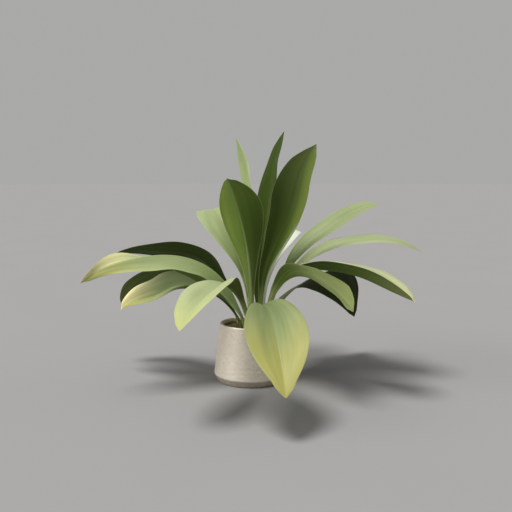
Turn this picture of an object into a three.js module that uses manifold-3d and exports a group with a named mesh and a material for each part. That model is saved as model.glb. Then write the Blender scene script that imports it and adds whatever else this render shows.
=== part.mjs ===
// A potted cast iron plant: a tapered stone-look pot, potting soil, a creeping rhizome and broad strap-shaped leaves.
// Millimetres, +Z up. The origin is the centre of the pot's underside, on the surface it stands on. -Y is the front.
import * as THREE from 'three';
import { mergeVertices } from 'three/addons/utils/BufferGeometryUtils.js';
import Module from 'manifold-3d';

// ---- Pot ----
const POT_HEIGHT = 125;
const RIM_RADIUS = 68; // outside, just under the rounded lip
const WALL = 6.5;
const WIDEST_RADIUS = 80;
const WIDEST_HEIGHT = 15.5;
const FOOT_RADIUS = 72.5; // flat underside
const FLOOR_THICKNESS = 9;
const LIP_ROUND = 2.6;

// ---- Soil and rhizome ----
const SOIL_TOP = 113.5; // mean level
const SOIL_WAVE = 1.6; // unevenness of the surface
const GAP = 0.35; // clearance kept between pieces
const SOCKET_ROOM = 1.05; // room in the soil and the rhizome around each stalk
const RHIZOME_CENTRE = [9.5, -1, 105.2];
const RHIZOME_HALF = [43, 31, 9.2]; // half its size along X, Y and Z

// ---- Leaves: one blade and petiole in one piece ----
const PETIOLE_START = 112; // height where each midline starts
const PETIOLE_DOWN = 6.5; // how far the stalk runs on below that, into the rhizome
const PETIOLE_HALF_THICK_TOP = 2.0;
const PETIOLE_HALF_THICK_BACK = 2.4;
const BLADE_HALF_THICK = 0.5;
const MIDRIB_KEEL = 1.3; // depth of the midrib on the back of the blade
const STATIONS = 18; // cross-sections along a leaf
const FLANK = 0.6; // where each half of a section is thickest, in half widths
const POINT_FROM = 0.91; // share of the blade from which its outline runs straight to the tip

// base: where the midline starts (x, y). length: along the midline. rise: slope angle in degrees at equal steps from base to tip.
// heading: compass direction in degrees (0 = +X, 90 = +Y) at base, middle and tip. roll: twist about the midline at base, middle and tip.
// fold: half-V angle of the blade at base, middle and tip. width: greatest width. stalk: share of the length that is bare stalk.
// foot: half width of the stalk. swell: the two exponents of the blade's outline.
const LEAVES = [
  { name: 'leaf_rear_spear', base: [-7.8, 13.7], length: 414.5, rise: [88.4, 87.5, 88.4, 91.8, 100.4, 111.5], heading: [5, 1, -1.2], roll: [14.2, 14.2, 16.4], fold: [11.8, 7.3, 2.3], width: 87.5, stalk: 0.203, foot: 3.3, swell: [1.886, 0.883] },
  { name: 'leaf_centre_spear', base: [11.1, 10.6], length: 430.9, rise: [85.1, 88.1, 82.8, 82.6, 79.5, 65.7], heading: [-9.1, -3.9, 2.4], roll: [-16.2, -18.4, -17], fold: [20, 12.2, -2.4], width: 95, stalk: 0.08, foot: 7, swell: [1.428, 0.852] },
  { name: 'leaf_front_upright', base: [1.2, -6.6], length: 360.8, rise: [89.9, 81.2, 72.4, 60.6, 56.6, 45.2], heading: [-98.1, -108.4, -115.3], roll: [9.8, 15.5, 8.7], fold: [33.8, 30, 33.6], width: 98.3, stalk: 0.062, foot: 6.8, swell: [3.343, 1.366] },
  { name: 'leaf_right_upright', base: [20.4, -3.1], length: 427.4, rise: [85.2, 84.1, 61.2, 67.4, 70.4, 39.6], heading: [-54.4, -41.2, -39.7], roll: [-45.9, -19.3, 10], fold: [1.4, 5.8, 5.1], width: 108.9, stalk: 0.072, foot: 7.4, swell: [2.604, 0.733] },
  { name: 'leaf_rear_left', base: [-1.2, 24.8], length: 421.7, rise: [86.6, 75.5, 55.1, 37, 1.6, -37.1], heading: [147.8, 121.8, 98.3], roll: [0.8, -8.2, -7.8], fold: [16, 6, -0.2], width: 98.1, stalk: 0.172, foot: 4, swell: [2.219, 1.6] },
  { name: 'leaf_rear_right', base: [23.1, 17.2], length: 396.6, rise: [85.6, 69.9, 45.6, 23.1, -5.6, -35.1], heading: [56.4, 72.3, 88.1], roll: [1.6, 17.6, 29.4], fold: [16.3, 14.5, 14.7], width: 82.2, stalk: 0.174, foot: 3.4, swell: [2.105, 1.002] },
  { name: 'leaf_right_rising', base: [31.9, 21.1], length: 402.7, rise: [73.6, 60.1, 49.9, 32.6, 32.5, 8.1], heading: [50.9, 21.9, -10.5], roll: [11.9, 9.7, 17.9], fold: [18.3, 12, 7.3], width: 91.9, stalk: 0.264, foot: 3.6, swell: [1.486, 0.745] },
  { name: 'leaf_right_high', base: [21.2, 5.6], length: 444.2, rise: [79.6, 53.8, 38.6, 13.3, -0.3, -36.3], heading: [12.2, 2.1, -15.2], roll: [32.6, 11.7, 0.8], fold: [16.2, 8.4, -4.6], width: 97.8, stalk: 0.211, foot: 3.6, swell: [1.607, 0.621] },
  { name: 'leaf_right_low', base: [34.8, -4.5], length: 428.4, rise: [91, 66.7, 10, -5.8, -20.1, -16.8], heading: [-21.6, -27.5, -33.9], roll: [35.1, -5.2, -3.6], fold: [36.2, 20.6, 43.4], width: 115.5, stalk: 0.052, foot: 3.5, swell: [1.804, 0.917] },
  { name: 'leaf_front_right', base: [30, -12.7], length: 353.4, rise: [85.3, 66, 39.9, -11.1, -26.4, -51.4], heading: [-43.7, -49.6, -40.7], roll: [-72.9, -34.2, -56.7], fold: [-1.8, -9.2, 14.2], width: 118.6, stalk: 0.12, foot: 4.8, swell: [2.567, 0.62] },
  { name: 'leaf_rear_right_low', base: [38.9, 7.7], length: 391.7, rise: [80.2, 34.1, 12.4, -23.3, -44.8, -56.9], heading: [33.7, 43, 60.2], roll: [-23.4, -28.4, -40.9], fold: [9.3, -1.5, 5.8], width: 114.2, stalk: 0.08, foot: 5.9, swell: [1.013, 1.317] },
  { name: 'leaf_front_drooping', base: [8.2, -25.4], length: 425.4, rise: [58, 28.6, 2.4, -25.4, -31.4, -47.4], heading: [-80.9, -81.7, -83.7], roll: [5.1, 5.7, -0.5], fold: [35.1, 29.4, 12.2], width: 119.2, stalk: 0.212, foot: 5.2, swell: [2.012, 1.35] },
  { name: 'leaf_front_left', base: [2.2, -16.1], length: 404.4, rise: [59.4, 47.2, 19.3, -5.2, -15.6, -37.9], heading: [-119.3, -108, -116], roll: [-3.4, 6.2, 18.3], fold: [27.3, 22.5, 11.3], width: 91.4, stalk: 0.125, foot: 6.4, swell: [2.256, 1.15] },
  { name: 'leaf_left_long', base: [-12.6, -21.8], length: 450.3, rise: [82.1, 60.2, 28.4, 1, -12.9, -35.5], heading: [179.7, 201.1, 214.4], roll: [-30.5, 7.6, -95], fold: [-29.5, -38.4, 19.4], width: 107.5, stalk: 0.05, foot: 6.4, swell: [1.154, 1.6] },
  { name: 'leaf_left_rear', base: [-12.6, 2.2], length: 376.4, rise: [73.5, 59.2, 46.4, 7.2, 2.1, -15.8], heading: [162.3, 173.5, 179.4], roll: [13.5, 30.9, 29.1], fold: [3.5, 5.7, 0.4], width: 97.5, stalk: 0.143, foot: 5.6, swell: [1, 1.447] },
  { name: 'leaf_left_low', base: [-19.5, -2.5], length: 342.2, rise: [73.2, 42, 14.2, -24.5, -14.6, -43.3], heading: [-180.4, -192.8, -204.6], roll: [-0.1, -30.5, -51.4], fold: [28.4, 27.8, 37.1], width: 83.5, stalk: 0.102, foot: 7.2, swell: [1.672, 1.195] },
  { name: 'leaf_rear_left_low', base: [-23.7, 12.2], length: 387.5, rise: [72.4, 42.6, 14.1, -11.9, -33.6, -56.6], heading: [152.3, 154.8, 157.5], roll: [10.6, 24.9, 29.3], fold: [8.8, 5.7, -0.9], width: 95, stalk: 0.277, foot: 3.6, swell: [1.566, 0.932] },
];

const wasm = await Module();
wasm.setup();
const RAD = Math.PI / 180;

// ---- helpers ----
const clamp = THREE.MathUtils.clamp;
const smooth = (a, b, x) => THREE.MathUtils.smoothstep(x, a, b);
const vec = (x, y, z) => new THREE.Vector3(x, y, z);
// a + b * k, as a new vector
const plus = (a, b, k = 1) => a.clone().addScaledVector(b, k);

// smooth curve through equally spaced control values
function through(values, s) {
  const n = values.length - 1;
  const x = clamp(s, 0, 1) * n;
  const i = Math.min(Math.floor(x), n - 1);
  const f = x - i;
  const at = (j) => (j < 0 ? 2 * values[0] - values[1] : j > n ? 2 * values[n] - values[n - 1] : values[j]);
  const [p0, p1, p2, p3] = [at(i - 1), at(i), at(i + 1), at(i + 2)];
  return 0.5 * (2 * p1 + (p2 - p0) * f + (2 * p0 - 5 * p1 + 4 * p2 - p3) * f * f + (3 * p1 - p0 - 3 * p2 + p3) * f ** 3);
}
// parabola through three values at 0, 1/2 and 1
const three = ([a, b, c], s) => a * (1 - s) * (1 - 2 * s) + b * 4 * s * (1 - s) + c * s * (2 * s - 1);

// half width of a leaf at share s of its length: a bare stalk, then a blade that ends in a straight-sided point
function halfWidth(leaf, s) {
  const [a, b] = leaf.swell;
  const u = clamp((s - leaf.stalk) / (1 - leaf.stalk), 0, 1);
  const peak = a / (a + b);
  const swell = (x) => (x ** a * (1 - x) ** b) / (peak ** a * (1 - peak) ** b);
  const outline = u > POINT_FROM ? Math.min(swell(u), (swell(POINT_FROM) * (1 - u)) / (1 - POINT_FROM)) : swell(u);
  return leaf.foot * clamp((1 - s) / 0.04, 0, 1) + (leaf.width / 2 - 0.6 * leaf.foot) * outline;
}

// point on the midline and the axes of the cross-section there (across the leaf, and out of its upper face)
function frames(leaf) {
  const STEPS = 96;
  const direction = (s) => {
    const t = through(leaf.rise, s) * RAD;
    const p = three(leaf.heading, s) * RAD;
    return vec(Math.cos(t) * Math.cos(p), Math.cos(t) * Math.sin(p), Math.sin(t));
  };
  const line = [vec(leaf.base[0], leaf.base[1], PETIOLE_START)];
  for (let i = 0; i < STEPS; i++) {
    const step = direction(i / STEPS).add(direction((i + 1) / STEPS)).multiplyScalar(leaf.length / STEPS / 2);
    line.push(plus(line[i], step));
  }
  return (s) => {
    const x = s * STEPS;
    const i = Math.min(Math.floor(x), STEPS - 1);
    const point = line[i].clone().lerp(line[i + 1], x - i);
    const along = direction(s);
    const p = three(leaf.heading, s) * RAD;
    const level = vec(-Math.sin(p), Math.cos(p), 0);
    const up = along.clone().cross(level);
    const r = three(leaf.roll, s) * RAD;
    const across = plus(level.clone().multiplyScalar(Math.cos(r)), up, Math.sin(r));
    const out = plus(up.clone().multiplyScalar(Math.cos(r)), level, -Math.sin(r));
    return { point, along, across, out };
  };
}

// closed geometry lofted through rings of equally many points
// A point and its opposite across a thin section share a column, and both faces of a column are split along the same diagonal, so they stay parallel.
function loft(rings) {
  const q = rings[0].length;
  const tri = [];
  for (let i = 0; i < rings.length - 1; i++)
    for (let c = 0; c < q / 2; c++) {
      const [here, next] = [rings[i], rings[i + 1]];
      const [d, e] = [(q - c) % q, q - c - 1];
      const rising = here[c].distanceTo(next[c + 1]) + here[d].distanceTo(next[e]) < here[c + 1].distanceTo(next[c]) + here[e].distanceTo(next[d]);
      for (const [j, k, first] of [[c, c + 1, rising], [e, d, !rising]]) {
        const [a, b] = [i * q + j, i * q + k];
        if (first) tri.push([a, b, b + q], [a, b + q, a + q]);
        else tri.push([a, b, a + q], [b, b + q, a + q]);
      }
    }
  const end = (rings.length - 1) * q;
  for (let j = 1; j < q - 1; j++) tri.push([0, j + 1, j], [end, end + j, end + j + 1]);
  const points = rings.flat();
  // faces point out of the body
  let volume = 0;
  for (const [a, b, c] of tri) volume += points[a].dot(points[b].clone().cross(points[c]));
  const geometry = new THREE.BufferGeometry().setFromPoints(points);
  geometry.setIndex(tri.flatMap(([a, b, c]) => (volume > 0 ? [a, b, c] : [a, c, b])));
  return geometry;
}

// a leaf: stalk and blade in one lofted body, thin at the margins and with a keel along the midrib
function leafGeometry(leaf) {
  const at = frames(leaf);
  const rings = [];
  for (let k = 0; k < STATIONS; k++) {
    const s = k === STATIONS - 1 ? 0.996 : (k / (STATIONS - 1)) ** 0.94;
    const { point, along, across, out } = at(s);
    const w = halfWidth(leaf, s);
    const blade = smooth(leaf.stalk * 0.55, leaf.stalk + 0.12, s);
    const fold = three(leaf.fold, s) * RAD * blade * smooth(0, 0.03, 1 - s);
    const taper = clamp((1 - s) / 0.05, 0.25, 1);
    const mix = (stalk, leafy) => ((1 - blade) * stalk + blade * leafy) * taper;
    const spot = (t, lift) => {
      const side = plus(out.clone().multiplyScalar(Math.cos(fold)), across, -Math.sign(t) * Math.sin(fold));
      return plus(plus(plus(point, across, w * t * Math.cos(fold)), out, w * Math.abs(t) * Math.sin(fold)), side, lift);
    };
    const top = mix(PETIOLE_HALF_THICK_TOP, BLADE_HALF_THICK);
    const back = -mix(PETIOLE_HALF_THICK_BACK, BLADE_HALF_THICK);
    const ring = [spot(-1, 0), spot(-FLANK, top), spot(0, top * 0.9), spot(FLANK, top), spot(1, 0), spot(FLANK, back), spot(0, -mix(PETIOLE_HALF_THICK_BACK, MIDRIB_KEEL)), spot(-FLANK, back)];
    if (k === 0) rings.push(ring.map((p) => plus(p, along, -PETIOLE_DOWN)));
    rings.push(ring);
  }
  return loft(rings);
}

// the room around the foot of a stalk: a straight ten-sided plug that follows its first stretch
function socketGeometry(leaf) {
  const at = frames(leaf);
  const first = (1 / (STATIONS - 1)) ** 0.94;
  const rings = [0, 0, first].map((s, k) => {
    const { point, along, across, out } = at(s);
    const centre = plus(point, along, k === 0 ? -PETIOLE_DOWN - GAP : 0);
    return Array.from({ length: 10 }, (_, i) => {
      const a = (i / 10) * 2 * Math.PI;
      const ring = plus(centre, across, Math.cos(a) * (leaf.foot + SOCKET_ROOM));
      return plus(ring, out, Math.sin(a) * (PETIOLE_HALF_THICK_BACK + SOCKET_ROOM + 0.3) + 0.3);
    });
  });
  return loft(rings);
}

// a closed geometry as a solid for cutting and joining
function solidOf(geometry, matrix) {
  const plain = new THREE.BufferGeometry().setAttribute('position', geometry.getAttribute('position').clone());
  if (geometry.index) plain.setIndex(geometry.index.clone());
  if (matrix) plain.applyMatrix4(matrix);
  const merged = mergeVertices(plain, 1e-4);
  return new wasm.Manifold(new wasm.Mesh({ numProp: 3, vertProperties: merged.attributes.position.array, triVerts: new Uint32Array(merged.index.array) }));
}
const joined = (solids) => solids.reduce((a, b) => a.add(b));

// ---- Pot: turned about +Z ----
const wallSlope = (RIM_RADIUS - WIDEST_RADIUS) / (POT_HEIGHT - 3 - WIDEST_HEIGHT);
const outerAt = (z) => WIDEST_RADIUS + wallSlope * (z - WIDEST_HEIGHT);
const innerAt = (z) => outerAt(z) - WALL;
const insideFoot = innerAt(FLOOR_THICKNESS + 8);
const lipLevel = POT_HEIGHT - LIP_ROUND;
const lipMiddle = (outerAt(lipLevel) + innerAt(lipLevel)) / 2;
const potOutline = [
  [0, 0], [FOOT_RADIUS - 1, 0], [FOOT_RADIUS + 0.6, 1.4],
  [WIDEST_RADIUS - 0.9, WIDEST_HEIGHT - 2.6], [WIDEST_RADIUS, WIDEST_HEIGHT + 0.6],
  ...[0, 1, 2, 3, 4, 5].map((i) => [lipMiddle + (Math.cos((i / 5) * Math.PI) * WALL) / 2, lipLevel + Math.sin((i / 5) * Math.PI) * LIP_ROUND]),
  [insideFoot, FLOOR_THICKNESS + 8], [insideFoot - 7, FLOOR_THICKNESS], [0, FLOOR_THICKNESS],
];
// turned outline ([radius, height], from the axis up the outside and back to the axis), with +Z as its axis
function turned(outline, segments) {
  return new THREE.LatheGeometry(outline.map(([r, z]) => new THREE.Vector2(r, z)), segments).rotateX(Math.PI / 2);
}
const potGeometry = turned(potOutline, 64);

// ---- Rhizome: the matted creeping stem that the stalks stand on, a low knobbly cake with its back at the soil surface ----
function rhizomeGeometry(grow) {
  const cake = mergeVertices(new THREE.BufferGeometry().setAttribute('position', new THREE.SphereGeometry(1, 26, 12).rotateX(Math.PI / 2).toNonIndexed().getAttribute('position')), 1e-4);
  const p = cake.getAttribute('position');
  const flat = (x, e) => Math.sign(x) * Math.abs(x) ** e;
  for (let i = 0; i < p.count; i++) {
    const [x, y, z] = [p.getX(i), p.getY(i), p.getZ(i)];
    const r = Math.hypot(x, y);
    const wide = r > 1e-6 ? r ** 0.8 / r : 0;
    const a = Math.atan2(y, x);
    const knob = 1 + 0.05 * Math.sin(3 * a + 1) + 0.035 * Math.sin(7 * a);
    p.setXYZ(i, RHIZOME_CENTRE[0] + x * wide * knob * (RHIZOME_HALF[0] + grow), RHIZOME_CENTRE[1] + y * wide * knob * (RHIZOME_HALF[1] + grow), RHIZOME_CENTRE[2] + flat(z, 0.8) * (RHIZOME_HALF[2] + grow) * (1 + 0.06 * r * Math.cos(5 * a + 2)));
  }
  return cake;
}
const sockets = joined(LEAVES.map((leaf) => solidOf(socketGeometry(leaf))));
const rhizome = solidOf(rhizomeGeometry(0)).subtract(sockets);

// ---- Soil: fills the pot up to an uneven surface, with room for the rhizome and the stalks ----
const soilRadius = innerAt(SOIL_TOP) - GAP;
const soilOutline = [[0, FLOOR_THICKNESS + GAP], [insideFoot - 7 - GAP, FLOOR_THICKNESS + GAP], [insideFoot - GAP, FLOOR_THICKNESS + 8 + GAP / 2]];
for (let i = 8; i >= 0; i--) soilOutline.push([(soilRadius * i) / 8, SOIL_TOP]);
const soilGeometry = mergeVertices(new THREE.BufferGeometry().setAttribute('position', turned(soilOutline, 40).toNonIndexed().getAttribute('position')), 1e-3);
const spots = soilGeometry.getAttribute('position');
for (let i = 0; i < spots.count; i++) {
  const [x, y, z] = [spots.getX(i), spots.getY(i), spots.getZ(i)];
  if (z < SOIL_TOP - 1) continue;
  const r = Math.hypot(x, y);
  const bumps = 0.5 * Math.sin(x * 0.13 + 1) * Math.cos(y * 0.11) + 0.45 * Math.sin(x * 0.31 - y * 0.27 + 2) + 0.35 * Math.cos(x * 0.57 + y * 0.49);
  spots.setZ(i, SOIL_TOP + SOIL_WAVE * bumps * 0.8 - 1.4 * smooth(soilRadius - 16, soilRadius, r));
}
const soil = solidOf(soilGeometry).subtract(solidOf(rhizomeGeometry(GAP + 0.1))).subtract(sockets);

// ---- The pieces, named and coloured ----
const group = new THREE.Group();
group.name = 'potted_cast_iron_plant';
function piece(name, geometry, colour, roughness) {
  geometry.computeVertexNormals();
  const mesh = new THREE.Mesh(geometry, new THREE.MeshStandardMaterial({ color: colour, roughness, metalness: 0 }));
  mesh.name = name;
  group.add(mesh);
}
// geometry of a cut solid's largest closed part: crumbs left by the cuts are dropped
function geometryOf(solid) {
  const body = solid.decompose().reduce((a, b) => (a.volume() > b.volume() ? a : b)).getMesh();
  const geometry = new THREE.BufferGeometry().setAttribute('position', new THREE.BufferAttribute(body.vertProperties, 3));
  geometry.setIndex(new THREE.BufferAttribute(body.triVerts, 1));
  return geometry;
}
piece('pot', potGeometry, 0xc9c0b4, 0.8);
piece('soil', geometryOf(soil), 0x3b2a1f, 0.95);
piece('rhizome', geometryOf(rhizome), 0x6b5537, 0.85);
for (const leaf of LEAVES) piece(leaf.name, leafGeometry(leaf), 0x7f9a52, 0.45);

export default group;
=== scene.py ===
"""A potted cast iron plant. Metres, +Z up, -Y is the front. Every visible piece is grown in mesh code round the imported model."""

import math

import bpy
import numpy as np
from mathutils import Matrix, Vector


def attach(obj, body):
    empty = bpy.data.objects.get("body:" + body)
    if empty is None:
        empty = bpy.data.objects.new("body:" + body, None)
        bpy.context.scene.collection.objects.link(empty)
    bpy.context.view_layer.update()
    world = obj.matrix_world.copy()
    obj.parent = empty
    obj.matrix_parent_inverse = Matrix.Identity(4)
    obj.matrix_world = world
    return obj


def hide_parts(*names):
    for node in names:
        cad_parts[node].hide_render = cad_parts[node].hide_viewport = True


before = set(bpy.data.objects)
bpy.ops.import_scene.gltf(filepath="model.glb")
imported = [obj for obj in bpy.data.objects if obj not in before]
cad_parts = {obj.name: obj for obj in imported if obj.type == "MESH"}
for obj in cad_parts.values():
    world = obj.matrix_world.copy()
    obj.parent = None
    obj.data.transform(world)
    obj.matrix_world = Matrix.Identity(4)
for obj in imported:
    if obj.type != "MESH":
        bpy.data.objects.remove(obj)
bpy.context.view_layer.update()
MM = 0.001
RAD = math.pi / 180


# ---------------------------------------------------------------- numbers shared with the model
POT_HEIGHT, RIM_RADIUS, WALL = 125.0, 68.0, 6.5
WIDEST_RADIUS, WIDEST_HEIGHT, FOOT_RADIUS = 80.0, 15.5, 72.5
FLOOR_THICKNESS, LIP_ROUND, SOIL_TOP = 9.0, 2.6, 113.5
PETIOLE_START, PETIOLE_DOWN = 112.0, 6.5
WALL_SLOPE = (RIM_RADIUS - WIDEST_RADIUS) / (POT_HEIGHT - 3 - WIDEST_HEIGHT)

# base x, y; length; rise at six equal steps; heading, roll, fold at base, middle and tip; width; stalk share; half width of the stalk; swell
LEAVES = {
    "leaf_rear_spear": [-7.8, 13.7, 414.5, 88.4, 87.5, 88.4, 91.8, 100.4, 111.5, 5, 1, -1.2, 14.2, 14.2, 16.4, 11.8, 7.3, 2.3, 87.5, 0.203, 3.3, 1.886, 0.883],
    "leaf_centre_spear": [11.1, 10.6, 430.9, 85.1, 88.1, 82.8, 82.6, 79.5, 65.7, -9.1, -3.9, 2.4, -16.2, -18.4, -17, 20, 12.2, -2.4, 95, 0.08, 7, 1.428, 0.852],
    "leaf_front_upright": [1.2, -6.6, 360.8, 89.9, 81.2, 72.4, 60.6, 56.6, 45.2, -98.1, -108.4, -115.3, 9.8, 15.5, 8.7, 33.8, 30, 33.6, 98.3, 0.062, 6.8, 3.343, 1.366],
    "leaf_right_upright": [20.4, -3.1, 427.4, 85.2, 84.1, 61.2, 67.4, 70.4, 39.6, -54.4, -41.2, -39.7, -45.9, -19.3, 10, 1.4, 5.8, 5.1, 108.9, 0.072, 7.4, 2.604, 0.733],
    "leaf_rear_left": [-1.2, 24.8, 421.7, 86.6, 75.5, 55.1, 37, 1.6, -37.1, 147.8, 121.8, 98.3, 0.8, -8.2, -7.8, 16, 6, -0.2, 98.1, 0.172, 4, 2.219, 1.6],
    "leaf_rear_right": [23.1, 17.2, 396.6, 85.6, 69.9, 45.6, 23.1, -5.6, -35.1, 56.4, 72.3, 88.1, 1.6, 17.6, 29.4, 16.3, 14.5, 14.7, 82.2, 0.174, 3.4, 2.105, 1.002],
    "leaf_right_rising": [31.9, 21.1, 402.7, 73.6, 60.1, 49.9, 32.6, 32.5, 8.1, 50.9, 21.9, -10.5, 11.9, 9.7, 17.9, 18.3, 12, 7.3, 91.9, 0.264, 3.6, 1.486, 0.745],
    "leaf_right_high": [21.2, 5.6, 444.2, 79.6, 53.8, 38.6, 13.3, -0.3, -36.3, 12.2, 2.1, -15.2, 32.6, 11.7, 0.8, 16.2, 8.4, -4.6, 97.8, 0.211, 3.6, 1.607, 0.621],
    "leaf_right_low": [34.8, -4.5, 428.4, 91, 66.7, 10, -5.8, -20.1, -16.8, -21.6, -27.5, -33.9, 35.1, -5.2, -3.6, 36.2, 20.6, 43.4, 115.5, 0.052, 3.5, 1.804, 0.917],
    "leaf_front_right": [30, -12.7, 353.4, 85.3, 66, 39.9, -11.1, -26.4, -51.4, -43.7, -49.6, -40.7, -72.9, -34.2, -56.7, -1.8, -9.2, 14.2, 118.6, 0.12, 4.8, 2.567, 0.62],
    "leaf_rear_right_low": [38.9, 7.7, 391.7, 80.2, 34.1, 12.4, -23.3, -44.8, -56.9, 33.7, 43, 60.2, -23.4, -28.4, -40.9, 9.3, -1.5, 5.8, 114.2, 0.08, 5.9, 1.013, 1.317],
    "leaf_front_drooping": [8.2, -25.4, 425.4, 58, 28.6, 2.4, -25.4, -31.4, -47.4, -80.9, -81.7, -83.7, 5.1, 5.7, -0.5, 35.1, 24, 7, 115, 0.212, 5.2, 2.012, 1.35],
    "leaf_front_left": [2.2, -16.1, 404.4, 59.4, 47.2, 19.3, -5.2, -15.6, -37.9, -119.3, -108, -116, -3.4, 6.2, 18.3, 27.3, 22.5, 11.3, 91.4, 0.125, 6.4, 2.256, 1.15],
    "leaf_left_long": [-12.6, -21.8, 450.3, 82.1, 60.2, 28.4, 1, -12.9, -35.5, 179.7, 201.1, 214.4, -30.5, 7.6, -95, -29.5, -38.4, 19.4, 107.5, 0.05, 6.4, 1.154, 1.6],
    "leaf_left_rear": [-12.6, 2.2, 376.4, 73.5, 59.2, 46.4, 7.2, 2.1, -15.8, 162.3, 173.5, 179.4, 13.5, 30.9, 29.1, 3.5, 5.7, 0.4, 97.5, 0.143, 5.6, 1, 1.447],
    "leaf_left_low": [-19.5, -2.5, 342.2, 73.2, 42, 14.2, -24.5, -14.6, -43.3, -180.4, -192.8, -204.6, -0.1, -30.5, -51.4, 28.4, 27.8, 37.1, 83.5, 0.102, 7.2, 1.672, 1.195],
    "leaf_rear_left_low": [-23.7, 12.2, 387.5, 72.4, 42.6, 14.1, -11.9, -33.6, -56.6, 152.3, 154.8, 157.5, 10.6, 24.9, 29.3, 8.8, 5.7, -0.9, 95, 0.277, 3.6, 1.566, 0.932],
}

# light: how bright the green is (1 = as the palette). yellow: how far the blade has yellowed. start: where along the blade that begins.
# edge: how much earlier the margins turn than the middle. rib: how pale the midrib is.
# painted_light_side: painted light and shade, how much brighter the left half (seen from the foot, upper face up) is
# painted than the right half, which is
# painted darker. back, frm: how far the lower face pales towards the tip, and from where, partly yellowing and partly
# painted light. low: how much paler the lower part of the lower face is, a painted sheen. painted_light_pale: how much
# paler the upper face is painted, as painted light. deep: how much darker the upper face is towards the stalk. shade:
# how much darker the lower face is than the palette, as painted shade. painted_light_tip: how bright the lower face's
# paler end is, as painted light. cream_painted_light: how creamy the yellow is painted on the right half, painted light
# on its shaded tip.
# painted_margin_highlight: how pale the lower part of the left margin is, a painted highlight. painted_light_bleach:
# how far the upper face is painted near white as painted light, most low down.
LOOKS = {
    "leaf_rear_spear": dict(light=1.14, yellow=0.05, start=0.85, edge=0.10, rib=0.12, painted_light_pale=0.10),
    "leaf_centre_spear": dict(light=1.04, yellow=0.00, start=0.90, edge=0.05, rib=0.10, shade=0.92),
    "leaf_front_upright": dict(light=0.99, yellow=0.00, start=0.92, edge=0.05, rib=0.55, painted_light_side=-0.56, low=0.42),
    "leaf_right_upright": dict(light=1.02, yellow=0.30, start=0.97, edge=0.04, rib=0.08, painted_light_side=0.90, back=0.20, frm=0.80, shade=0.76, painted_margin_highlight=0.90),
    "leaf_rear_left": dict(light=0.74, yellow=0.05, start=0.90, edge=0.08, rib=0.12, deep=0.50, painted_light_pale=0.20),
    "leaf_rear_right": dict(light=0.94, yellow=0.00, start=0.90, edge=0.10, rib=0.20, painted_light_pale=0.90, painted_light_bleach=0.9),
    "leaf_right_rising": dict(light=0.67, yellow=0.10, start=0.90, edge=0.12, rib=0.08, deep=1.00, painted_light_pale=0.18),
    "leaf_right_high": dict(light=0.76, yellow=0.15, start=0.90, edge=0.12, rib=0.08, painted_light_pale=0.34),
    "leaf_right_low": dict(light=0.77, yellow=0.28, start=0.82, edge=0.12, rib=0.12, back=0.30, frm=0.72, painted_light_pale=0.80, shade=0.88),
    "leaf_front_right": dict(light=0.87, yellow=0.10, start=0.92, edge=0.10, rib=0.16, painted_light_side=0.10, back=0.90, frm=0.58, painted_light_tip=1.28),
    "leaf_rear_right_low": dict(light=0.80, yellow=0.05, start=0.88, edge=0.10, rib=0.10, shade=0.28),
    "leaf_front_drooping": dict(light=0.56, yellow=1.00, start=0.66, edge=0.12, rib=0.08, painted_light_pale=0.10),
    "leaf_front_left": dict(light=0.83, yellow=0.60, start=0.84, edge=0.08, rib=0.10, painted_light_pale=0.40, shade=0.62),
    "leaf_left_long": dict(light=0.78, yellow=0.90, start=0.76, edge=0.10, rib=0.10, painted_light_pale=0.14, cream_painted_light=1.00),
    "leaf_left_rear": dict(light=0.80, yellow=0.00, start=0.90, edge=0.08, rib=0.10, shade=0.37),
    "leaf_left_low": dict(light=0.62, yellow=1.00, start=0.75, edge=0.10, rib=0.12, back=1.00, frm=0.68, painted_light_tip=1.38, cream_painted_light=1.00, shade=0.82),
    "leaf_rear_left_low": dict(light=0.82, yellow=0.25, start=0.85, edge=0.12, rib=0.10, shade=0.66),
}


# ---------------------------------------------------------------- helpers: numbers
def smooth(a, b, x):
    f = np.clip((np.asarray(x, float) - a) / (b - a), 0, 1)
    return f * f * (3 - 2 * f)


def through(values, s):
    c = np.asarray(values, float)
    n = len(c) - 1
    x = np.clip(s, 0, 1) * n
    i = np.minimum(x.astype(int), n - 1)
    f = x - i
    e = np.concatenate([[2 * c[0] - c[1]], c, [2 * c[-1] - c[-2]]])
    p0, p1, p2, p3 = e[i], e[i + 1], e[i + 2], e[i + 3]
    return 0.5 * (2 * p1 + (p2 - p0) * f + (2 * p0 - 5 * p1 + 4 * p2 - p3) * f * f + (3 * p1 - p0 - 3 * p2 + p3) * f ** 3)


def three(c, s):
    return c[0] * (1 - s) * (1 - 2 * s) + c[1] * 4 * s * (1 - s) + c[2] * s * (2 * s - 1)


def unit(v):
    return v / np.maximum(np.linalg.norm(v, axis=-1, keepdims=True), 1e-12)


class Waves:
    """Smooth seeded noise in 1 to 3 dimensions: a sum of sine waves, about -1 to 1."""

    def __init__(self, seed, dims, count=14, low=0.6, high=1.8):
        r = np.random.default_rng(seed)
        d = unit(r.normal(size=(count, dims)))
        self.k = d * r.uniform(low, high, (count, 1)) * 2 * math.pi
        self.p = r.uniform(0, 2 * math.pi, count)
        self.n = math.sqrt(count / 2) * 1.5

    def __call__(self, *x):
        x = np.stack(np.broadcast_arrays(*x), -1)
        return np.sin(x @ self.k.T + self.p).sum(-1) / self.n


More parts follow.
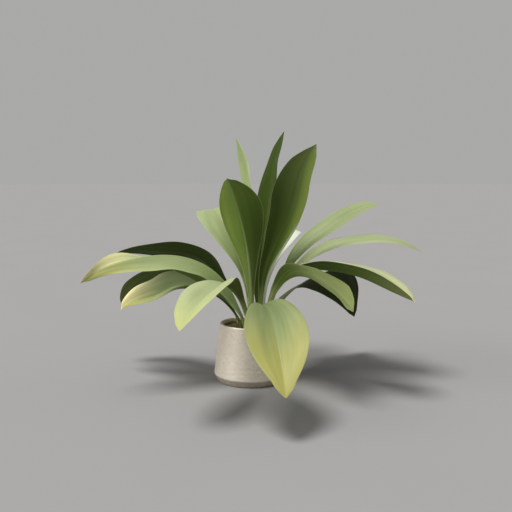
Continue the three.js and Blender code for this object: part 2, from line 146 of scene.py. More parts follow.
# ---------------------------------------------------------------- helpers: meshes
def make_piece(name, verts, quads, tris, material, maps=None, smooth_faces=True):
    """An object from points in metres and faces. maps: name -> (len(loops), 2) array, loops in the order quads then tris."""
    quads = np.asarray(quads, int).reshape(-1, 4)
    tris = np.asarray(tris, int).reshape(-1, 3)
    me = bpy.data.meshes.new(name)
    me.from_pydata(np.asarray(verts, float).tolist(), [], quads.tolist() + tris.tolist())
    for key, uv in (maps or {}).items():
        layer = me.uv_layers.new(name=key)
        layer.data.foreach_set("uv", np.asarray(uv, np.float32).ravel())
    me.polygons.foreach_set("use_smooth", [smooth_faces] * len(me.polygons))
    me.materials.append(material)
    me.update()
    ob = bpy.data.objects.new(name, me)
    bpy.context.scene.collection.objects.link(ob)
    return ob


def outward(verts, quads, tris):
    """The faces turned so that the closed body they bound has its outside out."""
    v = np.asarray(verts, float)
    quads = np.asarray(quads, int).reshape(-1, 4)
    tris = np.asarray(tris, int).reshape(-1, 3)
    t = np.vstack([quads[:, [0, 1, 2]], quads[:, [0, 2, 3]], tris])
    vol = np.einsum("ij,ij->i", v[t[:, 0]], np.cross(v[t[:, 1]], v[t[:, 2]])).sum()
    return (quads, tris, False) if vol > 0 else (quads[:, ::-1], tris[:, ::-1], True)


# ---------------------------------------------------------------- helpers: materials
def rgb(code):
    """Linear colour of a #rrggbb code."""
    c = [int(code[i:i + 2], 16) / 255 for i in (1, 3, 5)]
    return tuple(x / 12.92 if x <= 0.04045 else ((x + 0.055) / 1.055) ** 2.4 for x in c) + (1.0,)


def scaled(c, k):
    return tuple(min(1.0, x * k) for x in c[:3]) + (1.0,)


class Net:
    """Short hand for a node material."""

    def __init__(self, name):
        self.mat = bpy.data.materials.new(name)
        self.mat.use_nodes = True
        self.tree = self.mat.node_tree
        self.tree.nodes.clear()
        self.out = self.tree.nodes.new("ShaderNodeOutputMaterial")
        self.bsdf = self.tree.nodes.new("ShaderNodeBsdfPrincipled")
        self.tree.links.new(self.bsdf.outputs["BSDF"], self.out.inputs["Surface"])

    def put(self, socket, value):
        if isinstance(value, bpy.types.NodeSocket):
            self.tree.links.new(value, socket)
        elif value is not None:
            socket.default_value = value

    def node(self, kind, **inputs):
        n = self.tree.nodes.new("ShaderNode" + kind)
        for k, v in inputs.items():
            self.put(n.inputs[k.replace("_", " ")], v)
        return n

    def math(self, op, a, b=None, c=None, clamp=False):
        n = self.tree.nodes.new("ShaderNodeMath")
        n.operation, n.use_clamp = op, clamp
        for i, v in enumerate((a, b, c)):
            if v is not None:
                self.put(n.inputs[i], v)
        return n.outputs[0]

    def step(self, x, a, b, lo=0.0, hi=1.0):
        n = self.tree.nodes.new("ShaderNodeMapRange")
        n.interpolation_type = "SMOOTHSTEP"
        for k, v in zip(("Value", "From Min", "From Max", "To Min", "To Max"), (x, a, b, lo, hi)):
            self.put(n.inputs[k], v)
        return n.outputs[0]

    def mix(self, f, a, b, blend="MIX"):
        n = self.tree.nodes.new("ShaderNodeMix")
        n.data_type, n.blend_type, n.clamp_factor = "RGBA", blend, True
        self.put(n.inputs[0], f)
        self.put(n.inputs[6], a)
        self.put(n.inputs[7], b)
        return n.outputs[2]

    def xyz(self, x, y, z):
        n = self.tree.nodes.new("ShaderNodeCombineXYZ")
        for i, v in enumerate((x, y, z)):
            self.put(n.inputs[i], v)
        return n.outputs[0]

    def split(self, v):
        n = self.tree.nodes.new("ShaderNodeSeparateXYZ")
        self.put(n.inputs[0], v)
        return n.outputs

    def uv(self, name):
        n = self.tree.nodes.new("ShaderNodeUVMap")
        n.uv_map = name
        return n.outputs[0]

    def place(self):
        return self.tree.nodes.new("ShaderNodeTexCoord").outputs["Object"]

    def noise(self, at, scale, detail=3.0, rough=0.5, warp=0.0):
        return self.node("TexNoise", Vector=at, Scale=scale, Detail=detail, Roughness=rough, Distortion=warp).outputs[0]

    def cells(self, at, scale, feature="F1", random=1.0):
        n = self.tree.nodes.new("ShaderNodeTexVoronoi")
        n.feature = feature
        self.put(n.inputs["Vector"], at)
        self.put(n.inputs["Scale"], scale)
        self.put(n.inputs["Randomness"], random)
        return n.outputs

    def bump(self, height, strength, distance, normal=None):
        n = self.node("Bump", Strength=strength, Distance=distance, Height=height)
        if normal is not None:
            self.put(n.inputs["Normal"], normal)
        return n.outputs[0]

    def finish(self, **inputs):
        for k, v in inputs.items():
            self.put(self.bsdf.inputs[k.replace("_", " ")], v)
        return self.mat


# ---------------------------------------------------------------- leaf material
TOP_DEEP, TOP_MAIN, TOP_PALE = rgb("#829a5a"), rgb("#9bac70"), rgb("#b0bc86")
# lower-face palette: a deeper green, set darker than its own colour as painted shade
BACK_DEEP, BACK_MAIN, BACK_PALE = rgb("#5c752c"), rgb("#71893b"), rgb("#94a958")
YELLOW, YELLOW_DEEP, MARGIN, RIB = rgb("#c5c26a"), rgb("#bdbb62"), rgb("#c0c88e"), rgb("#b6c386")
# pale colours painted as light: the lit half, the paler upper faces, the cream of a shaded tip and a near white; the
# pale lower-face tip and yellow are partly painted light
BACK_TIP, PAINTED_LIT_HALF, YELLOW_BACK, PAINTED_LIT_PALE = rgb("#b4c47e"), rgb("#a6bd5c"), rgb("#dcd997"), rgb("#c9cda9")
TIP, STALK, STALK_FOOT = rgb("#9c9468"), rgb("#bacb7e"), rgb("#aca86c")
PAINTED_LIT_CREAM, PAINTED_LIT_WHITE = rgb("#f3e8ae"), rgb("#dbe2d0")


def leaf_material(name, seed, light, yellow, start, edge, rib, painted_light_side=0.0, back=0.0, frm=0.6, low=0.0, painted_light_pale=0.0, deep=0.0, shade=1.0, painted_light_tip=None, painted_margin_highlight=0.0, painted_light_bleach=0.0, cream_painted_light=0.0):
    n = Net(name)
    s, v, _ = n.split(n.uv("LeafPattern"))
    side, wide, _ = n.split(n.uv("LeafSide"))
    t = n.math("MULTIPLY_ADD", v, 2.0, -1.0)
    away = n.math("ABSOLUTE", t)
    half = n.math("MULTIPLY", wide, 70.0)  # half width here, mm
    x = n.math("MULTIPLY", away, half)
    rim = n.math("SUBTRACT", half, x)
    place = n.place()

    long_streaks = n.noise(n.xyz(n.math("MULTIPLY", s, 1.7), n.math("MULTIPLY", t, 4.6), seed), 1.0, 3.0, 0.5, 0.15)
    fine_streaks = n.noise(n.xyz(n.math("MULTIPLY", s, 4.0), n.math("MULTIPLY", t, 24.0), seed + 7.3), 1.0, 3.0, 0.6)
    fibres = n.noise(n.xyz(n.math("MULTIPLY", s, 14.0), n.math("MULTIPLY", t, 90.0), seed + 3.1), 1.0, 2.0, 0.5)
    blotch = n.noise(place, 14.0, 2.0, 0.5, 0.3)
    mottle = n.noise(place, 150.0, 3.0, 0.6)

    # parallel veins: every fourth one stronger
    wander = n.math("MULTIPLY_ADD", n.noise(n.xyz(n.math("MULTIPLY", s, 5.0), n.math("MULTIPLY", t, 3.0), seed + 1.7), 1.0, 2.0), 0.020, t)
    minor = n.math("PINGPONG", n.math("MULTIPLY", n.math("ABSOLUTE", wander), 36.0), 0.5)
    major = n.math("PINGPONG", n.math("MULTIPLY", n.math("ABSOLUTE", wander), 9.0), 0.5)
    minor_line = n.step(minor, 0.0, 0.20, 1.0, 0.0)
    major_line = n.step(major, 0.0, 0.10, 1.0, 0.0)
    # short cross veins between the parallel ones
    rungs = n.noise(n.xyz(n.math("MULTIPLY", s, 210.0), n.math("MULTIPLY", t, 22.0), seed + 9.0), 1.0, 1.0)

    # upper face: pale sage in soft lengthwise bands; lower face deeper and greener, and darker still as painted shade
    top = n.mix(n.step(long_streaks, 0.10, 0.60), scaled(TOP_DEEP, light), scaled(TOP_MAIN, light))
    top = n.mix(n.math("MULTIPLY", n.step(fine_streaks, 0.42, 0.80), 0.18), top, scaled(TOP_PALE, light))
    top = n.mix(n.math("MULTIPLY", n.step(away, 0.25, 0.95), 0.30), top, scaled(TOP_PALE, light))
    # painted shade: the shade factor darkens every lower-face colour
    under_shaded = light * shade
    under = n.mix(n.step(long_streaks, 0.15, 0.80), scaled(BACK_DEEP, under_shaded), scaled(BACK_MAIN, under_shaded))
    under = n.mix(n.math("MULTIPLY", n.step(fine_streaks, 0.45, 0.80), 0.12), under, scaled(BACK_PALE, under_shaded))
    # painted light: the lower face turns paler towards the tip, partly yellowing
    if back > 0:
        under = n.mix(n.math("MULTIPLY", n.step(n.math("MULTIPLY_ADD", long_streaks, 0.10, s), frm - 0.16, frm + 0.24), back), under, scaled(BACK_TIP, painted_light_tip or light))
    # a painted sheen: the lower part of the lower face painted paler
    if low > 0:
        under = n.mix(n.math("MULTIPLY", n.step(n.math("MULTIPLY_ADD", long_streaks, 0.20, s), 0.66, 0.34), low), under, scaled(TOP_PALE, light))
    # painted light: the upper face painted paler towards the tip
    if painted_light_pale > 0:
        top = n.mix(n.math("MULTIPLY", n.step(n.math("MULTIPLY_ADD", long_streaks, 0.30, s), 0.15, 0.60), painted_light_pale), top, scaled(PAINTED_LIT_PALE, light))
    if deep > 0:
        top = n.mix(n.math("MULTIPLY", n.step(n.math("MULTIPLY_ADD", long_streaks, 0.16, s), 0.80, 0.30), deep), top, scaled(BACK_MAIN, light * 0.80))
    green = n.mix(side, under, top)
    green = n.mix(n.math("MULTIPLY", n.step(blotch, 0.35, 0.70), 0.16), green, n.mix(side, scaled(TOP_DEEP, under_shaded * 0.80), scaled(TOP_DEEP, light * 0.80)))
    # deeper green towards the stalk
    green = n.mix(n.math("MULTIPLY", n.step(s, 0.58, 0.22), 0.22), green, n.mix(side, scaled(BACK_MAIN, under_shaded * 0.95), scaled(BACK_MAIN, light * 0.95)))

    # yellowing from the tip and the margins inwards, along the streaks
    ripe = n.math("ADD", s, n.math("MULTIPLY", n.math("POWER", away, 2.2), edge))
    ripe = n.math("ADD", ripe, n.math("MULTIPLY_ADD", long_streaks, 0.24, -0.12))
    ripe = n.math("ADD", ripe, n.math("MULTIPLY_ADD", fine_streaks, 0.06, -0.03))
    ripe_f = n.math("MULTIPLY", n.step(ripe, start - 0.14, start + 0.30), yellow)
    gold = n.mix(n.step(fine_streaks, 0.30, 0.75), scaled(YELLOW_DEEP, light * 1.12), scaled(YELLOW, light * 1.12))
    # painted light: the yellow turns cream on the right half, where the tip is shaded
    if cream_painted_light > 0:
        gold = n.mix(n.math("MULTIPLY", n.step(t, 0.12, -0.15), cream_painted_light), gold, PAINTED_LIT_CREAM)
    # the lower face's yellow: a pale yellow, made brighter as painted light
    gold = n.mix(side, scaled(YELLOW_BACK, painted_light_tip or light), gold)
    colour = n.mix(ripe_f, green, gold)

    # veins, fibres, mottling
    pale = n.mix(side, scaled(BACK_PALE, under_shaded), scaled(TOP_PALE, light * 1.08))
    colour = n.mix(n.math("MULTIPLY", minor_line, 0.05), colour, pale)
    colour = n.mix(n.math("MULTIPLY", major_line, 0.05), colour, pale)
    colour = n.mix(n.math("MULTIPLY", n.step(fibres, 0.50, 0.85), 0.09), colour, scaled(BACK_MAIN, under_shaded * 0.9))
    colour = n.mix(n.math("MULTIPLY", n.step(mottle, 0.50, 0.80), 0.07), colour, pale)

    # painted light and shade: one half is painted lighter, the other painted darker
    if painted_light_side:
        lighter, darker = (1.0, -1.0) if painted_light_side > 0 else (-1.0, 1.0)
        k = abs(painted_light_side)
        colour = n.mix(n.math("MULTIPLY", n.step(n.math("MULTIPLY", t, lighter), 0.15, 0.95), n.step(s, 0.25, 0.60, k * 0.55, k)), colour, scaled(PAINTED_LIT_HALF, light))
        colour = n.mix(n.math("MULTIPLY", n.step(n.math("MULTIPLY", t, darker), -0.35, 0.80), n.step(s, 0.92, 0.60, k * 0.62, k * 1.3)), colour, scaled(BACK_DEEP, under_shaded * 0.58))

    # pale midrib, widest near the stalk
    rib_width = n.math("MULTIPLY_ADD", s, -1.5, 2.6)
    rib_f = n.math("MULTIPLY", n.math("SUBTRACT", 1.0, n.step(n.math("DIVIDE", x, rib_width), 0.35, 1.15)), n.step(s, 0.90, 0.40, rib * 0.25, rib))
    colour = n.mix(rib_f, colour, n.mix(side, scaled(RIB, under_shaded), scaled(RIB, light)))
    # stalk: ribbed, paler, brownish at its foot, and darker with the lower face's painted shade
    bare = n.step(half, 11.0, 5.0)
    ridge = n.math("PINGPONG", n.math("MULTIPLY", t, 3.2), 0.5)
    bright = (0.45 + 0.60 * light) * (0.30 + 0.70 * shade)
    stalk = n.mix(n.step(ridge, 0.06, 0.34), scaled(STALK, bright * 0.60), scaled(STALK, bright * 1.05))
    stalk = n.mix(n.math("MULTIPLY", n.step(s, 0.05, 0.0), 0.40), stalk, scaled(STALK_FOOT, 0.95))
    stalk_f = n.math("MULTIPLY", bare, n.step(s, 0.70, 0.50))
    colour = n.mix(n.math("MULTIPLY", stalk_f, 0.75), colour, stalk)
    # thin pale margin, and a dry point
    colour = n.mix(n.math("MULTIPLY", n.math("MULTIPLY", n.step(rim, 1.5, 0.4), n.step(half, 4.0, 9.0)), 0.70), colour, n.mix(side, scaled(MARGIN, under_shaded), scaled(MARGIN, light)))
    # a painted highlight: a pale strip along the lower part of one margin
    if painted_margin_highlight:
        highlight_strip = n.math("MULTIPLY", n.step(rim, 6.5, 3.5), n.step(t, 0.0, 0.3))
        colour = n.mix(n.math("MULTIPLY", n.math("MULTIPLY", highlight_strip, n.step(s, 0.60, 0.48)), painted_margin_highlight), colour, rgb("#eef1e2"))
    # painted light: the upper face painted near white, most low down
    if painted_light_bleach:
        colour = n.mix(n.math("MULTIPLY", side, n.step(s, 0.82, 0.60, painted_light_bleach * 0.35, painted_light_bleach)), colour, scaled(PAINTED_LIT_WHITE, light))
    dry = n.step(n.math("MULTIPLY_ADD", fine_streaks, 0.02, s), 0.996, 1.010)
    colour = n.mix(n.math("MULTIPLY", dry, 0.35), colour, TIP)
    # a few small scars
    scar_cells = n.cells(place, 95.0)
    scar = n.math("MULTIPLY", n.step(scar_cells["Distance"], 0.13, 0.05), n.step(n.noise(place, 9.0, 1.0), 0.62, 0.70))
    colour = n.mix(n.math("MULTIPLY", scar, 0.22), colour, rgb("#8d8a5a"))

    rough = n.math("MULTIPLY_ADD", fine_streaks, 0.14, 0.42)
    rough = n.math("ADD", rough, n.math("MULTIPLY", n.math("SUBTRACT", 1.0, side), 0.12))
    rough = n.math("ADD", rough, n.math("MULTIPLY", mottle, 0.06), clamp=True)
    ridges = n.math("ADD", n.math("MULTIPLY", minor_line, 0.30), n.math("MULTIPLY", major_line, 0.45))
    ridges = n.math("MULTIPLY", ridges, n.step(half, 4.0, 12.0))
    relief = n.math("ADD", n.math("MULTIPLY", n.math("MULTIPLY_ADD", side, -2.0, 1.0), ridges), n.math("MULTIPLY", fibres, 0.25))
    relief = n.math("ADD", relief, n.math("MULTIPLY", rungs, 0.08))
    relief = n.math("ADD", relief, n.math("MULTIPLY", n.math("MULTIPLY", bare, n.step(ridge, 0.05, 0.35)), 0.9))
    return n.finish(Base_Color=colour, Roughness=rough, Normal=n.bump(relief, 0.28, 0.00022), IOR=1.42, Specular_IOR_Level=n.math("MULTIPLY_ADD", side, 0.18, 0.22))


# ---------------------------------------------------------------- leaf shape
HALF_T = np.array([0, .010, .022, .036, .053, .075, .105, .14, .18, .225, .27, .315, .36, .405, .45, .495, .54, .585, .63, .675, .72, .765, .81, .85, .888, .922, .952, .978, .993, 1.0])
ACROSS = np.concatenate([-HALF_T[:0:-1], HALF_T])
ALONG = 132


def leaf_frames(p, s):
    """Spine points and section axes at shares s of the length, in mm."""
    steps = 768
    grid = np.linspace(0, 1, steps + 1)

    def direction(q):
        th, ph = through(p[3:9], q) * RAD, three(p[9:12], q) * RAD
        return np.stack([np.cos(th) * np.cos(ph), np.cos(th) * np.sin(ph), np.sin(th)], -1)

    d = direction(grid)
    line = np.vstack([[0, 0, 0], np.cumsum((d[1:] + d[:-1]) / 2 * p[2] / steps, 0)]) + [p[0], p[1], PETIOLE_START]
    point = np.stack([np.interp(s, grid, line[:, i]) for i in range(3)], -1)
    q = np.clip(s, 0, 1)
    along = direction(q)
    ph = three(p[9:12], q) * RAD
    level = np.stack([-np.sin(ph), np.cos(ph), 0 * ph], -1)
    up = np.cross(along, level)
    r = (three(p[12:15], q) * RAD)[:, None]
    across = level * np.cos(r) + up * np.sin(r)
    out = up * np.cos(r) - level * np.sin(r)
    point = point + along * (np.minimum(s, 0) * p[2])[:, None]  # the foot runs on straight below the soil
    return point, along, across, out


# how far each half bellies beside the rib, and how blunt the point is, where it isn't the usual
BELLY, BLUNT = {"leaf_front_drooping": 0.04}, {"leaf_front_drooping": 0.82}


def half_width(p, s, blunt=1.0):
    a, b = p[21], p[22]
    u = np.clip((s - p[19]) / (1 - p[19]), 0, 1)
    peak = a / (a + b)

    def swell(x):
        return x ** a * (1 - x) ** b / (peak ** a * (1 - peak) ** b)

    line = swell(0.91) * ((1 - u) / 0.09) ** blunt
    # the outline runs over into the straight-sided point without a corner
    f = np.where(u > 0.91, np.minimum(swell(u), line) if blunt == 1.0 else line, swell(u))
    return p[20] * np.clip((1 - s) / 0.04, 0, 1) + (p[18] / 2 - 0.6 * p[20]) * f


def leaf_piece(node, p, look, seed):
    r = np.random.default_rng(seed)
    L = p[2]
    s = np.concatenate([[-PETIOLE_DOWN / L, -0.5 * PETIOLE_DOWN / L], 1 - (1 - np.linspace(0, 1, ALONG)) ** 1.06 * 1.0])
    s[-1] = 0.9988
    point, along, across, out = leaf_frames(p, s)
    q = np.clip(s, 0, 1)
    w = half_width(p, q, BLUNT.get(node, 1.0))
    blade = smooth(p[19] * 0.55, p[19] + 0.12, q)
    # on the leaf that opens out at its tip, the far half opens sooner at its margin than at the midrib
    lag = 0.08 if node == "leaf_left_long" else 0.0
    late = np.clip(q[:, None] + lag * np.where(ACROSS[None, :] < 0, np.abs(ACROSS[None, :]), 0), 0, 1)
    fold = three(p[15:18], late) * RAD * (blade * smooth(0, 0.03, 1 - q))[:, None]
    taper = np.clip((1 - q) / 0.05, 0.12, 1)

    t = ACROSS[None, :]
    a = np.abs(t)
    W, B, Q = (v[:, None] for v in (w, blade, q))
    F = fold
    e = np.minimum(4.5 / W, 0.8)  # the crease at the midrib is rounded over a few millimetres
    soft = (np.sqrt(a * a + e * e) - e) / (np.sqrt(1 + e * e) - e)
    hump = soft + BELLY.get(node, 0.27) * np.sin(math.pi * a) - 0.09 * a ** 6
    x = W * t * np.cos(F)
    z = W * np.sin(F) * hump
    # flat leaves still belly a little on each side of the rib
    z = z + B * W * 0.030 * np.sin(math.pi * a) * (1 - np.minimum(1, np.abs(F) * 2))

    # margins wave, halves buckle gently, and the blade is pleated along its stronger veins
    size = np.minimum(1, W / 45)
    fade = smooth(0.02, 0.16, 1 - Q) * B
    wave_l, wave_r = Waves(seed * 7 + 1, 1, 7, 2.6, 5.8), Waves(seed * 7 + 2, 1, 7, 2.6, 5.8)
    edge = np.where(t < 0, wave_l(Q), wave_r(Q))
    z = z + 1.0 * size * fade * a ** 2.6 * edge
    buckle = Waves(seed * 7 + 3, 2, 16, 0.5, 1.7)
    z = z + 0.80 * size * fade * buckle(Q * 3.2, t * 1.5) * (0.25 + 0.75 * np.minimum(1, a * 3))
    drift = Waves(seed * 7 + 4, 2, 10, 0.4, 1.2)(Q * 3.0, t * 1.2)
    pleat = np.cos(2 * math.pi * (5.0 * a ** 0.96 + 0.22 * drift))
    z = z + 0.05 * size * fade * pleat * smooth(0.05, 0.2, a) * smooth(0.0, 0.12, 1 - a)
    fine = Waves(seed * 7 + 5, 2, 18, 0.8, 2.2)
    z = z + 0.05 * size * fade * fine(Q * 8, t * 7) * smooth(0, 0.1, 1 - a)
    # the outline itself is slightly uneven
    x = x * (1 + 0.010 * B * fade * np.where(t < 0, Waves(seed * 7 + 6, 1, 6, 2, 5)(Q), Waves(seed * 7 + 8, 1, 6, 2, 5)(Q)) * a)

    # thickness: thin blade, round midrib that is the stalk running on, channelled on its upper face
    dx, dz = np.gradient(x, axis=1), np.gradient(z, axis=1)
    ln = np.maximum(np.hypot(dx, dz), 1e-9)
    nx, nz = -dz / ln, dx / ln
    foot = p[20]
    core = np.interp(q, [0, 0.05 + p[19], 0.5, 1], [foot, max(3.0, foot * 0.8), 2.2, 0.9])[:, None]
    lateral = W * a
    circ = np.sqrt(np.clip(1 - (lateral / core) ** 2, 0, 1))
    rim = np.sqrt(np.clip(1 - a ** 12, 0, 1))
    stalk_rim = np.sqrt(np.clip(1 - a ** 2.2, 0, 1))
    thin = (0.30 * B + 0.12 * (1 - B)) * np.where(B > 0.999, rim, B * rim + (1 - B) * stalk_rim)
    keel = np.interp(q, [0, p[19] + 0.02, p[19] + 0.24, 0.8, 1], [2.4, 2.2, 1.35, 0.65, 0.12])[:, None]
    crown = (1.9 * (1 - B) + 0.10 * B) * circ
    groove = np.exp(-(lateral / np.interp(q, [0, 0.4, 1], [0.42 * foot, 1.2, 1.0])[:, None]) ** 2) * np.interp(q, [0, 0.05, 0.12, p[19] + 0.27, 1], [0, 0.6, 1.25, 0.42, 0.08])[:, None]
    flutes = 0.16 * (1 - B) * np.cos(t * 3.2 * 2 * math.pi) * circ
    T = taper[:, None]
    top = (thin + crown - groove * np.minimum(1, circ + 0.2) + flutes * 0.6) * T
    low = (thin + keel * circ + flutes) * T
    top = np.where(a > 0.9999, 0, np.maximum(top, -0.55 * low + 0.1))
    low = np.where(a > 0.9999, 0, low)

    def lift(h):
        X, Z = x + nx * h, z + nz * h
        return point[:, None] + across[:, None] * X[..., None] + out[:, None] * Z[..., None]

    up_side, down_side = lift(top), lift(-low)
    ns, nt = len(s), len(ACROSS)
    ring = 2 * nt - 2
    loop = np.concatenate([up_side, down_side[:, -2:0:-1]], 1)  # across the top, then back underneath
    tip_point = point[-1] + along[-1] * L * 0.0014
    foot = loop[0].mean(0)
    verts = np.vstack([loop.reshape(-1, 3), [tip_point, foot]]) * MM
    tipi, footi = ns * ring, ns * ring + 1

    i, j = np.meshgrid(np.arange(ns - 1), np.arange(ring), indexing="ij")
    k = (j + 1) % ring
    quads = np.stack([i * ring + j, i * ring + k, (i + 1) * ring + k, (i + 1) * ring + j], -1).reshape(-1, 4)
    j = np.arange(ring)
    k = (j + 1) % ring
    end = (ns - 1) * ring
    tris = np.vstack([np.stack([end + j, end + k, np.full(ring, tipi)], -1), np.stack([k, j, np.full(ring, footi)], -1)])

    # pattern map: share of the length, and place across. side map: which face, and half width
    tt = np.concatenate([ACROSS, ACROSS[-2:0:-1]])
    col = np.arange(ring)
    face_up = col < nt - 1
    qs, qt, qu = q, tt, face_up
    I, J = np.meshgrid(np.arange(ns - 1), col, indexing="ij")
    K = (J + 1) % ring

    def corners(f):
        return np.stack([f(I, J), f(I, K), f(I + 1, K), f(I + 1, J)], 2).reshape(-1, 2)

    def pat(i, j):
        return np.stack([qs[i], qt[j] * 0.5 + 0.5], -1)

    flag = np.where(qu[J], 1.0, 0.0)

    def sidef(i, j):
        return np.stack([flag, w[i] / 70.0], -1)

    wmax = w.max()
    wide = np.maximum(w, 3.5) / wmax

    def bake(i, j):
        mid = np.where(qu[J], 0.25, 0.75)
        return np.stack([0.02 + 0.96 * (s[i] - s[0]) / (1.0 - s[0]), mid + 0.235 * qt[j] * wide[i]], -1)

    j0, k0 = col, (col + 1) % ring

    def fan(at, s_end, w_end):
        v0, v1 = qt[j0] * 0.5 + 0.5, qt[k0] * 0.5 + 0.5
        one = np.full(ring, at)
        a_ = np.stack([one, v0], -1), np.stack([one, v1], -1), np.stack([np.full(ring, s_end), np.full(ring, 0.5)], -1)
        return a_

    tip_pat = np.stack(fan(qs[-1], 1.0, 0), 1).reshape(-1, 2)
    f0, f1, f2 = fan(qs[0], 0.0, 0)
    foot_pat = np.stack([f1, f0, f2], 1).reshape(-1, 2)
    fl = np.where(face_up, 1.0, 0.0)
    tip_side = np.repeat(np.stack([fl, np.full(ring, w[-1] / 70)], -1), 3, 0)
    foot_side = np.repeat(np.stack([fl, np.full(ring, w[0] / 70)], -1), 3, 0)
    mid = np.where(face_up, 0.25, 0.75)
    ue = 0.02 + 0.96 * (s[-1] - s[0]) / (1.0 - s[0])
    tip_bake = np.stack([
        np.stack([np.full(ring, ue), mid + 0.235 * qt[j0] * wide[-1]], -1),
        np.stack([np.full(ring, ue), mid + 0.235 * qt[k0] * wide[-1]], -1),
        np.stack([np.full(ring, 0.985), mid], -1)], 1).reshape(-1, 2)
    ang = 2 * math.pi * col / ring
    ang1 = 2 * math.pi * (col + 1) / ring
    foot_bake = np.stack([
        np.stack([0.012 + 0.006 * np.cos(ang1), 0.5 + 0.006 * np.sin(ang1)], -1),
        np.stack([0.012 + 0.006 * np.cos(ang), 0.5 + 0.006 * np.sin(ang)], -1),
        np.tile([0.012, 0.5], (ring, 1))], 1).reshape(-1, 2)

    maps = {
        "LeafPattern": np.vstack([corners(pat), tip_pat, foot_pat]),
        "LeafSide": np.vstack([corners(sidef), tip_side, foot_side]),
        "OFBake": np.vstack([corners(bake), tip_bake, foot_bake]),
    }
    v = verts
    tq = np.vstack([quads[:, [0, 1, 2]], quads[:, [0, 2, 3]], tris])
    vol = np.einsum("ij,ij->i", v[tq[:, 0]], np.cross(v[tq[:, 1]], v[tq[:, 2]])).sum()
    if vol < 0:
        quads, tris = quads[:, ::-1], tris[:, ::-1]
        nq = len(quads) * 4
        for key in maps:
            m = maps[key]
            maps[key] = np.vstack([m[:nq].reshape(-1, 4, 2)[:, ::-1].reshape(-1, 2), m[nq:].reshape(-1, 3, 2)[:, ::-1].reshape(-1, 2)])
    name = node.replace("leaf_", "foliage_")
    mat = leaf_material(name, float(r.uniform(0, 50)), **look)
    ob = make_piece(name, verts, quads, tris, mat, maps)
    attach(ob, "root")
    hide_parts(node)
    return ob


for number, (node, p) in enumerate(LEAVES.items()):
    leaf_piece(node, p, LOOKS[node], 11 + number)


# ---------------------------------------------------------------- pot
def pot_profile():
    """(radius, height) round the wall, in mm: up the outside, over the lip, down the inside."""
    def outer(z):
        return WIDEST_RADIUS + WALL_SLOPE * (z - WIDEST_HEIGHT)

    def inner(z):
        return outer(z) - WALL

    pts = [(0, 0), (24, 0), (48, 0), (64, 0), (FOOT_RADIUS - 3.0, 0.0), (FOOT_RADIUS - 1.4, 0.0)]
    # rounded foot edge
    for a in np.linspace(-80, -35, 5):
        pts.append((FOOT_RADIUS - 1.0 + 1.5 * math.cos(a * RAD), 1.5 + 1.5 * math.sin(a * RAD)))
    foot = pts[-1]
    # chamfer, then a softened corner at the widest line
    for f in np.linspace(0.06, 1, 11)[:-1]:
        pts.append((foot[0] + (79.0 - foot[0]) * f, foot[1] + (12.9 - foot[1]) * f))
    c0, c1, c2 = np.array([79.0, 12.9]), np.array([80.3, 15.0]), np.array([outer(18.2), 18.2])
    for f in np.linspace(0, 1, 7):
        pts.append(tuple((1 - f) ** 2 * c0 + 2 * f * (1 - f) * c1 + f * f * c2))
    lip = POT_HEIGHT - LIP_ROUND
    for z in np.linspace(19.5, lip, 80):
        pts.append((outer(z), z))
    mid = (outer(lip) + inner(lip)) / 2
    for a in np.linspace(0, 180, 15)[1:-1]:
        c, s_ = math.cos(a * RAD), math.sin(a * RAD)
        # a flattened half round
        pts.append((mid + math.copysign(abs(c) ** 0.75, c) * WALL / 2, lip + abs(s_) ** 0.8 * LIP_ROUND))
    for z in np.linspace(lip, 104, 18):
        pts.append((inner(z), z))
    for z in (90, 70, 50, 30, FLOOR_THICKNESS + 8):
        pts.append((inner(z), z))
    foot_in = inner(FLOOR_THICKNESS + 8)
    pts += [(foot_in - 3.5, FLOOR_THICKNESS + 3.0), (foot_in - 7, FLOOR_THICKNESS), (foot_in - 30, FLOOR_THICKNESS), (0, FLOOR_THICKNESS)]
    return np.array(pts)


